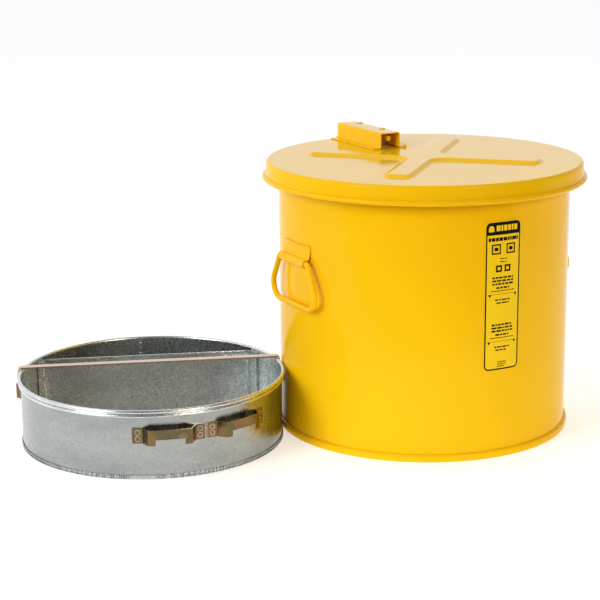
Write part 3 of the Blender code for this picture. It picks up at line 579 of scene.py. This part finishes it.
roof = channel_base + CHANNEL_HEIGHT - 0.0002
lance_start, lance_end, lance_width, lance_height = 0.0015, 0.0125, 0.0052, 0.0017
lance_stations = ((lance_start, 0.05), (lance_start + 0.0035, 0.75),
                  (lance_end - 0.002, 1.0), (lance_end, 1.0))
for number, middle in enumerate((0.125, 0.190), start=1):
    sections = []
    for x, full in lance_stations:
        barrel = half_ellipse(lance_width * full, lance_height * full)
        sections.append([(x, middle + y, roof + z) for y, z in barrel])
    add_piece(f"channel_lance_{number}", lofted(sections), TANK, LID_PAINT, "lid")
    slot_outline = half_ellipse(lance_width * 0.7, lance_height * 0.75)
    slot_face = [[(lance_end + k, middle + y, roof + 0.0001 + z) for y, z in slot_outline]
                 for k in (-0.0002, 0.00008)]
    add_piece(f"lance_slot_{number}", lofted(slot_face), TANK, GAP_SHADE, "lid")

# %% [markdown]
# ## Drop handles
# Each handle is a loop of round wire that hangs in the rolled lower edge of a plate. The plate lies
# on the round wall, so its sections across the width follow the wall's curve at the top and come
# straight at the roll, which holds a straight bar. Both sides are the same, turned half round, so
# the handle is drawn once with outwards along X, and placed with two frames.

# %% Handle frames and values
right_joint = next(joint for joint in frame["joints"] if joint["child"] == "right_handle")
handle_at = TANK.inverted() @ Vector(right_joint["pos_m"])
HANDLE_N, HANDLE_Z = handle_at.x, handle_at.z
WIRE_RADIUS = 0.0038
PLATE_WIDTH, PLATE_RISE, PLATE_SHEET = 0.068, 0.023, 0.0015
RING_DROP, RING_HALF_GRIP, RING_SHOULDER = 0.061, 0.071, 0.0385
SIDES = {"right": TANK, "left": TANK @ Matrix.Rotation(math.pi, 4, "Z")}
print("handle hinge", round(HANDLE_N, 4), "out and", round(HANDLE_Z, 4), "up")


# %% Handle plates
def plate_shape():
    hook = arc((HANDLE_N, HANDLE_Z), WIRE_RADIUS + 0.0004 + PLATE_SHEET / 2, 118, -95, 16)
    flat, stations = BODY_RADIUS + GAP + PLATE_SHEET / 2, 20
    top = HANDLE_Z + PLATE_RISE
    sections = []
    for i in range(stations + 1):
        across = PLATE_WIDTH * (i / stations - 0.5)
        wall = math.sqrt(BODY_RADIUS ** 2 - across ** 2) - BODY_RADIUS
        path = [(flat + wall, top), (flat + wall * 0.9, top - 0.25 * PLATE_RISE),
                (flat + wall * 0.65, top - 0.45 * PLATE_RISE),
                (flat + wall * 0.3, hook[0][1] + 0.0035)] + hook
        left, right = sheet_sides(path, PLATE_SHEET)
        sections.append([(n, across, z) for n, z in left + right[::-1]])
    return lofted(sections)


for side, place in SIDES.items():
    plate = add_piece(f"handle_bracket_{side}", plate_shape(), place, PAINT, "tank",
                      [f"handle_plate_{side}"])
    soften(plate, 0.0003, 60.0)


# %% Handle rings
def ring_shape(sides=20):
    route = rounded([(-RING_SHOULDER, 0.0), (-RING_HALF_GRIP, -RING_DROP),
                     (RING_HALF_GRIP, -RING_DROP), (RING_SHOULDER, 0.0)],
                    [0.006, 0.020, 0.020, 0.006], steps=12)
    sections = []
    for i, (across, drop) in enumerate(route):
        along = Vector(route[(i + 1) % len(route)]) - Vector(route[i - 1])
        normal = along.normalized().orthogonal()
        loop = []
        for k in range(sides):
            turn = math.tau * k / sides
            aside = normal * (WIRE_RADIUS * math.cos(turn))
            loop.append((HANDLE_N + WIRE_RADIUS * math.sin(turn), across + aside[0],
                         HANDLE_Z + drop + aside[1]))
        sections.append(loop)
    return lofted(sections, cyclic=True)


for side, place in SIDES.items():
    add_piece(f"handle_ring_{side}", ring_shape(), place, PAINT, f"{side}_handle",
              [f"drop_handle_{side}"])

# %% [markdown]
# ## Level label
# The label shows how far to fill the tank. It is drawn flat in width and height, then wrapped on
# the wall: width becomes an angle. Wide shapes are cut in narrow columns so that they bend with the
# wall. All the print is generic: a frame, a plain head band, two filling levels, and short bars
# where a maker would set words.

# %% Label wrap
LABEL_WIDTH, LABEL_HEIGHT, LABEL_CORNER, LABEL_FILM = 0.0546, 0.200, 0.008, 0.0004
LABEL_TOP = BODY_HEIGHT - 0.0512
LABEL_ANGLE = 270.0 - 1.5
INK_LIFT, HEAD_PRINT_LIFT = 0.00006, 0.00012
film_face = BODY_RADIUS + GAP + LABEL_FILM


def on_wall(across, drop, radius):
    """A flat label point, across to the right and down from its top edge, wrapped on the wall."""
    return (*polar(radius, LABEL_ANGLE + math.degrees(across / BODY_RADIUS)), LABEL_TOP - drop)


def patch(left, right, top, bottom, corner=0.0, lean=0.0, lift=INK_LIFT):
    """An ink patch in narrow columns; corner rounds its top, lean slants its foot into a wedge."""
    columns = max(2, math.ceil((right - left) / 0.003) + 1) if not corner else 32
    middle, half = (left + right) / 2, (right - left) / 2
    points = []
    for i in range(columns):
        t = i / (columns - 1)
        across = middle + half * (math.sin(math.pi * (t - 0.5)) if corner else 2 * t - 1)
        into = max(abs(across - middle) - (half - corner), 0.0)
        cut = corner - math.sqrt(max(corner ** 2 - into ** 2, 0.0))
        points += [on_wall(across, top + cut, film_face + lift),
                   on_wall(across, bottom - lean * abs(2 * t - 1), film_face + lift)]
    return points, grid_faces(columns, 2)


# %% Label film
def film_shape():
    half, count = LABEL_WIDTH / 2, 28
    sections = []
    for i in range(count + 1):
        across = half * math.sin(math.pi * (i / count - 0.5))
        into = max(abs(across) - (half - LABEL_CORNER), 0.0)
        least = (LABEL_CORNER * 0.02) ** 2
        cut = LABEL_CORNER - math.sqrt(max(LABEL_CORNER ** 2 - into ** 2, least))
        inner, outer = BODY_RADIUS + GAP, film_face
        foot = LABEL_HEIGHT - cut
        sections.append([on_wall(across, foot, inner), on_wall(across, foot, outer),
                         on_wall(across, cut, outer), on_wall(across, cut, inner)])
    return lofted(sections)


def label_film():
    made, tree, shader = start_material("label_film")
    fill(tree, shader, {
        "Base Color": ramp(tree, noise(tree, 40.0, 3.0),
                           [(0.3, (0.94, 0.62, 0.006)), (0.7, (0.96, 0.64, 0.008))]),
        "Roughness": ranged(tree, noise(tree, 200.0, 3.0), 0.22, 0.34),
        "Normal": bump(tree, noise(tree, 90.0), 0.1, 0.0002),
        "Specular IOR Level": 0.1,
    })
    return made


FILM = label_film()
add_piece("label_film", film_shape(), TANK, FILM, "tank", ["level_label"])


# %% Label print
def frame_line(inset, width):
    """The rounded line round the label, as a flat ribbon in short lengths."""
    half, deep = LABEL_WIDTH / 2 - inset, LABEL_HEIGHT - inset
    corner = LABEL_CORNER - inset
    outer = rounded([(-half, inset), (half, inset), (half, deep), (-half, deep)],
                    [corner] * 4, steps=6)
    outer = [tuple(Vector(a).lerp(Vector(b), t)) for a, b in zip(outer, outer[1:] + outer[:1])
             for t in ((0, 0.2, 0.4, 0.6, 0.8) if abs(a[0] - b[0]) > 0.02 else (0,))]
    middle = Vector((0.0, LABEL_HEIGHT / 2))
    points = []
    for i, point in enumerate(outer):
        along = Vector(outer[(i + 1) % len(outer)]) - Vector(outer[i - 1])
        inward = along.normalized().orthogonal()
        if inward.dot(middle - Vector(point)) < 0:
            inward = -inward
        for p in (Vector(point), Vector(point) + inward * width):
            points.append(on_wall(p.x, p.y, film_face + INK_LIFT))
    return points, grid_faces(len(outer), 2, True, False)


def word_bars(drop, height, half_width, seed, gap=0.0012, lift=INK_LIFT):
    """A row of short bars of uneven length, where a line of words would be."""
    chance = random.Random(seed)
    bars, at = [], -half_width
    while at < half_width - 0.002:
        end = min(at + chance.uniform(0.0025, 0.0075), half_width)
        bars.append(patch(at, end, drop, drop + height, lift=lift))
        at = end + gap
    return bars


def level_mark(drop):
    """A thin line with a small wedge at each end: the filling level."""
    half = LABEL_WIDTH / 2 - 0.0055
    marks = [patch(-half, half, drop, drop + 0.0004)]
    for side in (-1, 1):
        inner, outer = side * (half - 0.0045), side * half
        marks.append(patch(min(inner, outer), max(inner, outer), drop, drop + 0.0042, lean=0.0042))
    return marks


def square_ring(across, drop, size, line):
    half = size / 2
    return [patch(across - half, across + half, drop, drop + line),
            patch(across - half, across + half, drop + size - line, drop + size),
            patch(across - half, across - half + line, drop, drop + size),
            patch(across + half - line, across + half, drop, drop + size)]


head_bottom, inset = 0.0180, 0.0012
print_shapes = [frame_line(inset, 0.0020)]
print_shapes.append(patch(-LABEL_WIDTH / 2 + inset, LABEL_WIDTH / 2 - inset, inset, head_bottom,
                          LABEL_CORNER - inset))
print_shapes += word_bars(0.0215, 0.0046, 0.0225, 3, 0.0008)
for across in (-0.0110, 0.0110):
    print_shapes += square_ring(across, 0.0300, 0.0135, 0.0019)
    print_shapes.append(patch(across - 0.0028, across + 0.0028, 0.0345, 0.0390))
print_shapes += word_bars(0.0490, 0.0012, 0.0050, 5) + word_bars(0.0530, 0.0012, 0.0050, 6)
for across in (-0.0065, 0.0065):
    print_shapes += square_ring(across, 0.0580, 0.0092, 0.0024)
for start in (0.0735, 0.1365):
    for line in range(3):
        print_shapes += word_bars(start + 0.0042 * line, 0.0024, 0.0160, start + line)
    print_shapes += word_bars(start + 0.0135, 0.0024, 0.0100, start + 4)
    print_shapes += word_bars(start + 0.0182, 0.0011, 0.0180, start + 5, 0.0006)
for drop in (0.0965, 0.1600):
    print_shapes += level_mark(drop)
    print_shapes += word_bars(drop + 0.0068, 0.0019, 0.0115, drop)
    print_shapes += word_bars(drop + 0.0110, 0.0019, 0.0095, drop + 1)
for line in range(3):
    print_shapes += word_bars(0.1875 + 0.0029 * line, 0.0012, 0.0068, 20 + line, 0.0006)
add_piece("label_print", joined(*print_shapes), TANK, INK, "tank")

head_bars = [patch(-0.0225, -0.0145, 0.0055, 0.0135, 0.0039, lift=HEAD_PRINT_LIFT)]
head_bars += word_bars(0.0055, 0.0075, 0.0210, 7, lift=HEAD_PRINT_LIFT)[2:]
add_piece("label_head_print", joined(*head_bars), TANK, FILM, "tank")

# %% [markdown]
# ## Drain basket
# The basket is a galvanised band with a rolled rim and, just under it, a stiffening bead. Both are
# arcs in one outline that is spun round the basket's axis. At the back its ends overlap in a seam,
# held by a row of spot welds.

# %% Basket band
BASKET_RADIUS, BASKET_SHEET, BASKET_RIM = 0.178, 0.0009, 0.0026
BASKET_INSIDE = BASKET_RADIUS - BASKET_SHEET
BASKET_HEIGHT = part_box("basket_shell")[1].z
BEAD_DROP, BEAD_STANDOUT, BASKET_BEAD = 0.0083, 0.0034, 0.0023
FLOOR_SHEET, LIP_SHEET, LIP_HEIGHT = 0.0014, 0.0011, 0.0065
RIM_RADIUS = BASKET_INSIDE + 2 * BASKET_RIM

PAINTED_SHADE_TOP = BASKET_HEIGHT - 0.011    # the darker outside copy, painted shade, ends below the bead
band_foot = FLOOR_SHEET + GAP
band_outline = [(BASKET_INSIDE, band_foot), (BASKET_RADIUS, band_foot)]
bead_centre = (BASKET_RADIUS + BEAD_STANDOUT - BASKET_BEAD, BASKET_HEIGHT - BEAD_DROP)
band_outline += arc(bead_centre, BASKET_BEAD, -112, 82, 14)
rim_centre = (RIM_RADIUS - BASKET_RIM, BASKET_HEIGHT - BASKET_RIM)
band_outline += arc(rim_centre, BASKET_RIM, -104, 180, 18)
band_outline.append((BASKET_INSIDE, BASKET_HEIGHT - BASKET_RIM - 0.002))
band = add_piece("basket_band", spun(band_outline), BASKET, SHEET, "basket",
                 ["basket_shell"])
band.data.materials.append(SHEET_PAINTED_SHADE)


def facing_out(face):
    """How far a face of the basket looks away from the basket's axis, from -1 to 1."""
    outward = face.center - Vector((*BASKET.translation.xy, face.center.z))
    return face.normal.dot(outward.normalized())


# Outer faces of the band below the bead take the darker copy: painted shade.
for face in band.data.polygons:
    face.material_index = int(facing_out(face) > 0.9 and face.center.z < PAINTED_SHADE_TOP)


# %% Lap seam
def seam_shape(middle, half_width, low, high):
    """A lap of sheet inside the band, and the row of small weld buttons that holds it."""
    inner = BASKET_INSIDE * math.cos(math.pi / 180) - 0.0001
    section = [(inner - 0.0010, -half_width), (inner, -half_width),
               (inner, half_width), (inner - 0.0010, half_width)]
    lap = [[(*polar(r, middle + math.degrees(a / inner)), z) for r, a in section]
           for z in (low, high)]
    buttons, z = [], low + 0.006
    while z < high - 0.003:
        rings = []
        for lift, size in ((0.0, 0.0022), (0.0004, 0.0019), (0.0006, 0.0012)):
            rings.append([(*polar(inner - 0.0010 - lift,
                                  middle + math.degrees(size * math.cos(t) / inner)),
                           z + size * math.sin(t)) for t in circle(12)])
        buttons.append(lofted(rings))
        z += 0.0075
    return joined(lofted(lap), *buttons)


SEAM_BEARING = 92.0
add_piece("lap_seam", seam_shape(SEAM_BEARING, 0.0040, band_foot + 0.001, BASKET_HEIGHT - 0.006),
          BASKET, SHEET, "basket")

# %% [markdown]
# ## Woven wire floor
# The floor is a disc of woven wire whose edge is turned up outside the band. Every wire of the
# cloth would be hundreds of thousands of faces, so the flat of it is a disc with the weave in its
# shader, while the turned-up edge, seen in profile, is real wire: two sets of short lengths that
# cross.


# %% Weave finish
def weave():
    made, tree, shader = start_material("woven_wire", metallic=1.0)
    where = add_node(tree, "ShaderNodeSeparateXYZ", {"Vector": place_on_part(tree)})
    pitch = 0.0028

    def ridge(axis, shift):
        """Rises and falls once per wire; a shift moves it sideways."""
        turns = maths(tree, "MULTIPLY_ADD", where.outputs[axis], math.tau / pitch, shift)
        return maths(tree, "SINE", turns)

    over = maths(tree, "MAXIMUM", ridge("X", 0.0), ridge("Y", 0.0))
    cross = maths(tree, "MULTIPLY", ridge("X", 1.57), ridge("Y", 1.57))
    height = maths(tree, "MULTIPLY_ADD", cross, 0.35, over)
    inputs = {"Value": height, "From Min": -0.7, "From Max": 1.1}
    level = add_node(tree, "ShaderNodeMapRange", inputs).outputs["Result"]
    # The colour follows the weave's height: darker down between the wires, lighter on their crowns,
    # as painted shade.
    fill(tree, shader, {
        "Base Color": ramp(tree, level, [(0.30, (0.16, 0.17, 0.17)), (0.62, (0.60, 0.62, 0.62)),
                                         (1.0, (0.80, 0.82, 0.82))]),
        "Roughness": ranged(tree, noise(tree, 60.0, 3.0), 0.38, 0.55),
        "Normal": bump(tree, level, 0.4, 0.0006),
    })
    return made


WEAVE = weave()
print("finish:", WEAVE.name)

# %% Floor disc and turned-up edge
foot_radius = BASKET_RADIUS + GAP + LIP_SHEET
core = 0.0004
disc_outline = [(0.0, core), (foot_radius - 2 * core, core),
                (foot_radius - 2 * core, LIP_HEIGHT - 2 * core),
                (BASKET_RADIUS + GAP, LIP_HEIGHT - 2 * core),
                (BASKET_RADIUS + GAP, FLOOR_SHEET), (0.0, FLOOR_SHEET)]
add_piece("wire_floor", spun(disc_outline, closed=False), BASKET, WEAVE, "basket",
          ["basket_mesh_floor"])


FRINGE_WIRE = 0.00045    # radius


def fold_path(turn, slant):
    """A wire from under the floor, out to the edge, and up beside the band."""
    wire = FRINGE_WIRE
    section = [(foot_radius - 0.008, wire), (foot_radius - 0.0012, wire),
               (foot_radius - wire, 0.0012), (foot_radius - wire, LIP_HEIGHT / 2),
               (foot_radius - wire, LIP_HEIGHT - wire)]
    return [Vector((*polar(r, turn + slant * (i / (len(section) - 1) - 0.5)), z))
            for i, (r, z) in enumerate(section)]


def wire_along(path, radius, sides=4):
    sections = []
    for i, here in enumerate(path):
        along = (path[min(i + 1, len(path) - 1)] - path[max(i - 1, 0)]).normalized()
        first = along.orthogonal().normalized()
        second = along.cross(first)
        sections.append([tuple(here + (first * math.cos(t) + second * math.sin(t)) * radius)
                         for t in [math.tau * (k + 0.5) / sides for k in range(sides)]])
    return lofted(sections)


wires_round = 300
fringe = [wire_along(fold_path(360 * i / wires_round, slant), FRINGE_WIRE)
          for i in range(wires_round) for slant in (2.6, -2.6)]
add_piece("wire_fringe", joined(*fringe), BASKET, WIRE, "basket")

# %% [markdown]
# ## Partition
# A plate stands across the basket, behind the strap, and keeps small parts apart. Its ends turn
# along the round wall, where they are welded, and its top edge is folded over in a hem. It is one
# strip that follows a plan path, thicker at the top where the hem doubles it.

# %% Partition plate
PARTITION_OFFSET, PARTITION_SHEET, PARTITION_TURN = 0.098, 0.0010, 0.017
HEM_SHEET, HEM_HEIGHT = 0.0026, 0.008


def partition_shape():
    wall = BASKET_INSIDE * math.cos(math.pi / 64) - GAP - PARTITION_SHEET / 2
    meet = math.degrees(math.asin(PARTITION_OFFSET / wall))
    along = math.degrees(PARTITION_TURN / wall)
    right = [polar(wall, meet - along + (along - 0.7) * i / 6) for i in range(7)]
    corner = Vector(polar(wall, meet))
    bend = [tuple(Vector(right[-1]).lerp(corner, 0.6)), (corner.x - 0.0016, corner.y - 0.0003),
            (corner.x - 0.0035, corner.y)]
    right += bend + [(corner.x - 0.0035 - 2 * HEM_SHEET, corner.y)]
    path = right + [(-x, y) for x, y in right[::-1]]
    low, high = FLOOR_SHEET + GAP, BASKET_HEIGHT - 0.0055
    sections = []
    for i, (a, b) in enumerate(zip(*sheet_sides(path, PARTITION_SHEET))):
        a, b = Vector(a), Vector(b)
        hemmed = len(right) - 2 < i < len(path) - len(right) + 1
        push = (a - b).normalized() * ((HEM_SHEET - PARTITION_SHEET) / 2 if hemmed else 0.00002)
        hem = high - HEM_HEIGHT
        loop = [(a, low), (b, low), (b, hem), (b - push, hem + 0.0006), (b - push, high - 0.0008),
                (b - push * 0.4, high), (a + push * 0.4, high), (a + push, high - 0.0008),
                (a + push, hem + 0.0006), (a, hem)]
        sections.append([(*p, z) for p, z in loop])
    return lofted(sections)


add_piece("partition", partition_shape(), BASKET, SHEET, "basket",
          ["partition_plate"])

# %% [markdown]
# ## Carrying strap
# A flat strap lies across the rim and turns down outside it at both ends. Its path is bent in the
# basket's X and Z, given thickness, and drawn out to the strap's width.

# %% Strap
STRAP_WIDTH, STRAP_SHEET, STRAP_OFFSET, STRAP_TURNDOWN = 0.012, 0.0022, 0.040, 0.014


def strap_shape():
    under = BASKET_HEIGHT + GAP
    reach = math.sqrt((RIM_RADIUS + GAP) ** 2 - (STRAP_OFFSET - STRAP_WIDTH / 2) ** 2)
    mid, side, bend = under + STRAP_SHEET / 2, reach + STRAP_SHEET / 2, 0.0028
    path = [(-side, under - STRAP_TURNDOWN)] + arc((-side + bend, mid - bend), bend, 180, 90, 6)
    path += arc((side - bend, mid - bend), bend, 90, 0, 6) + [(side, under - STRAP_TURNDOWN)]
    left, right = sheet_sides(path, STRAP_SHEET)
    ends = (STRAP_OFFSET - STRAP_WIDTH / 2, STRAP_OFFSET + STRAP_WIDTH / 2)
    return lofted([[(x, y, z) for x, z in left + right[::-1]] for y in ends])


soften(add_piece("strap", strap_shape(), BASKET, STRAP_ZINC, "basket", ["carry_strap"]),
       0.0005)

# %% [markdown]
# ## Hangers
# Three hangers round the band, and a spare one, hold the basket up on ledges in the tank so that it
# drains. Each is one bent strap: a tab on the wall, a step outwards, a foot, a raised middle over
# the ledge, and the same again. Two clinched rings fasten each tab.

# %% Hanger straps
HANGER_STANDOFF, HANGER_SHEET, HANGER_HEIGHT, HANGER_NOTCH = 0.014, 0.0015, 0.0205, 0.0078
TAB_SPAN, STEP_SPAN, FOOT_SPAN, HANGER_SPAN = 4.5, 2.2, 2.8, 30.4
HANGER_TOP = BASKET_HEIGHT - 0.0238
HANGER_TURNS = {"hanger_1": 273.5, "hanger_2": 157.0, "hanger_3": 33.5, "hanger_spare": 304.9}


def hanger_shape(turn):
    on_band = BASKET_RADIUS + GAP + HANGER_SHEET / 2
    off_band = BASKET_RADIUS + HANGER_STANDOFF - HANGER_SHEET / 2
    low = HANGER_TOP - HANGER_HEIGHT
    half = HANGER_SPAN / 2
    tab, foot = half - TAB_SPAN, half - TAB_SPAN - STEP_SPAN
    notch = foot - FOOT_SPAN
    side = [(half, on_band, low + 0.001), (half - 0.15, on_band, low),
            (half - TAB_SPAN / 2, on_band, low), (tab + 0.4, on_band, low),
            (tab, on_band + 0.0006, low), (tab - 0.15, on_band + 0.002, low),
            (foot + 0.15, off_band - 0.002, low), (foot, off_band - 0.0006, low),
            (foot - 0.4, off_band, low), (notch + 0.3, off_band, low),
            (notch + 0.05, off_band, low + 0.0008), (notch, off_band, low + HANGER_NOTCH)]
    side += [(notch * (1 - i / 3), off_band, low + HANGER_NOTCH) for i in (1, 2)]
    stations = [(-at, r, z) for at, r, z in side]
    stations += [(0.0, off_band, low + HANGER_NOTCH)] + side[::-1]
    a_side, b_side = sheet_sides([polar(r, turn + at) for at, r, z in stations], HANGER_SHEET)
    sections = [[(*a, z), (*b, z), (*b, HANGER_TOP), (*a, HANGER_TOP)]
                for a, b, (at, r, z) in zip(a_side, b_side, stations)]
    return lofted(sections)


def paint_edge_highlight(piece, finish):
    """The cut edges of a strap, which face up, down or along it, take a brighter finish: a painted
    highlight.
    """
    piece.data.materials.append(finish)
    for face in piece.data.polygons:
        face.material_index = int(abs(facing_out(face)) < 0.3)


for name, turn in HANGER_TURNS.items():
    strap = add_piece(f"{name}_strap", hanger_shape(turn), BASKET, PASSIVATED, "basket",
                      [name])
    paint_edge_highlight(strap, PASSIVATED_EDGE_HIGHLIGHT)
    soften(strap, 0.0002, 50.0)


# %% Clinched rings
def clinch_shape(turn, z, size=0.0032, tube=0.0005):
    """A thin raised ring on a tab, open in the middle."""
    face = BASKET_RADIUS + GAP + HANGER_SHEET
    loops = []
    for across, lift in arc((size, 0.0), tube, 0, 300, 5):
        loops.append([(*polar(face + lift, turn + math.degrees(across * math.cos(t) / face)),
                       z + across * math.sin(t)) for t in circle(20)])
    return lofted(loops, cyclic=True)


tab_middle = HANGER_SPAN / 2 - TAB_SPAN / 2
ring_levels = [HANGER_TOP - HANGER_HEIGHT / 2 + side * 0.0042 for side in (-1, 1)]
for name, turn in HANGER_TURNS.items():
    rings = [clinch_shape(turn + side * tab_middle, z) for side in (-1, 1) for z in ring_levels]
    add_piece(f"{name}_clinches", joined(*rings), BASKET, STEEL, "basket")

# %% [markdown]
# ## Parts kept as packed
# The hinge, the hold-open rod, the fusible link and the ledges already have the right shape, so
# they only take their finish.

# %% Finishes for the kept parts
KEPT = {
    PAINT: ["tank_bottom", "drain_ledge_1", "drain_ledge_2", "drain_ledge_3", "hinge_bracket",
            "lid_hinge_leaf", "hold_open_rod"],
    STEEL: ["hinge_pin", "rod_guide_front", "rod_guide_rear", "link_pin", "link_post"],
    BRASS: ["link_plate_rod", "link_plate_post"],
}
for finish, names in KEPT.items():
    for name in names:
        for part_slot in frame["nodes"][name].material_slots:
            part_slot.material = finish
print(sum(len(names) for names in KEPT.values()), "packed parts refinished")

# %% [markdown]
# ## Stage, light and camera
# The object stands on a pale floor that glows a little, like a lit table, so that its shadow stays
# faint and light comes back up on the walls. The table ends a little way in front, and the room
# beyond is dark, which gives the bare metal something dark to mirror. The sky is bright behind and
# on the left. A large soft light on the left is the main one; a warm one on the right fills in.

# %% Floor and sky
floor_mesh = bpy.data.meshes.new("studio_floor")
reach = 14.0
floor_corners = [(-reach, -reach, 0), (reach, -reach, 0), (reach, reach, 0), (-reach, reach, 0)]
floor_mesh.from_pydata(floor_corners, [], [(0, 1, 2, 3)])
floor = bpy.data.objects.new("studio_floor", floor_mesh)
floor.location.z = -0.0004
bpy.context.scene.collection.objects.link(floor)
table, table_tree, table_shader = start_material("lit_table")
across_table = add_node(table_tree, "ShaderNodeSeparateXYZ", {"Vector": place_on_part(table_tree)})
table_edge = {"Value": across_table.outputs["Y"], "From Min": -0.74, "From Max": -0.63}
lit = add_node(table_tree, "ShaderNodeMapRange", table_edge)
pale = ramp(table_tree, lit.outputs["Result"],
            [(0.0, (0.03, 0.03, 0.03)), (1.0, (0.86, 0.86, 0.86))])
fill(table_tree, table_shader, {"Base Color": pale, "Emission Color": pale, "Roughness": 0.9,
                                "Specular IOR Level": 0.0, "Emission Strength": 0.55})
floor_mesh.materials.append(table)

sky = bpy.data.worlds.new("studio_sky")
bpy.context.scene.world = sky
sky.use_nodes = True
sky_tree = sky.node_tree
direction = add_node(sky_tree, "ShaderNodeTexCoord").outputs["Generated"]
parts_of = add_node(sky_tree, "ShaderNodeSeparateXYZ", {"Vector": direction})
towards = maths(sky_tree, "MULTIPLY_ADD", parts_of.outputs["X"], -0.7, parts_of.outputs["Y"])
depth = add_node(sky_tree, "ShaderNodeMapRange",
                 {"Value": towards, "From Min": -0.8, "From Max": 0.6})
glow = ramp(sky_tree, depth.outputs["Result"],
            [(0.0, (0.10, 0.10, 0.11)), (0.5, (0.40, 0.40, 0.41)), (1.0, (1.06, 1.06, 1.06))])
fill(sky_tree, sky_tree.nodes["Background"], {"Color": glow, "Strength": 1.0})
bpy.context.scene.view_settings.view_transform = "Standard"
print("floor and sky ready")


# %% Lights
def soft_light(name, location, target, size, power, colour):
    lamp = bpy.data.lights.new(name, "AREA")
    lamp.shape, lamp.size, lamp.size_y = "RECTANGLE", *size
    lamp.energy, lamp.color = power, colour
    holder = bpy.data.objects.new(name, lamp)
    holder.location = location
    holder.rotation_euler = (Vector(target) - Vector(location)).to_track_quat("-Z", "Y").to_euler()
    bpy.context.scene.collection.objects.link(holder)
    return holder


aim = TANK.translation + Vector((0, 0, 0.2))
soft_light("main_light", (-2.3, -2.0, 1.5), aim, (1.4, 1.6), 52.0, (1.0, 1.0, 0.98))
soft_light("warm_fill", (1.7, -2.5, 1.4), aim, (1.2, 1.4), 36.0, (1.0, 0.88, 0.72))
print("lights aimed at", tuple(aim))

# %% Camera
lens, pitch, roll = 105.27, math.radians(14.18), math.radians(-0.46)
camera_data = bpy.data.cameras.new("camera")
camera_data.lens, camera_data.sensor_width = lens, 36.0
camera = bpy.data.objects.new("camera", camera_data)
camera.location = (0.0003, -2.363, 0.7742)
camera.rotation_euler = (Matrix.Rotation(math.radians(90) - pitch, 3, "X")
                         @ Matrix.Rotation(roll, 3, "Z")).to_euler()
bpy.context.scene.collection.objects.link(camera)
bpy.context.scene.camera = camera
print("camera at", tuple(camera.location))
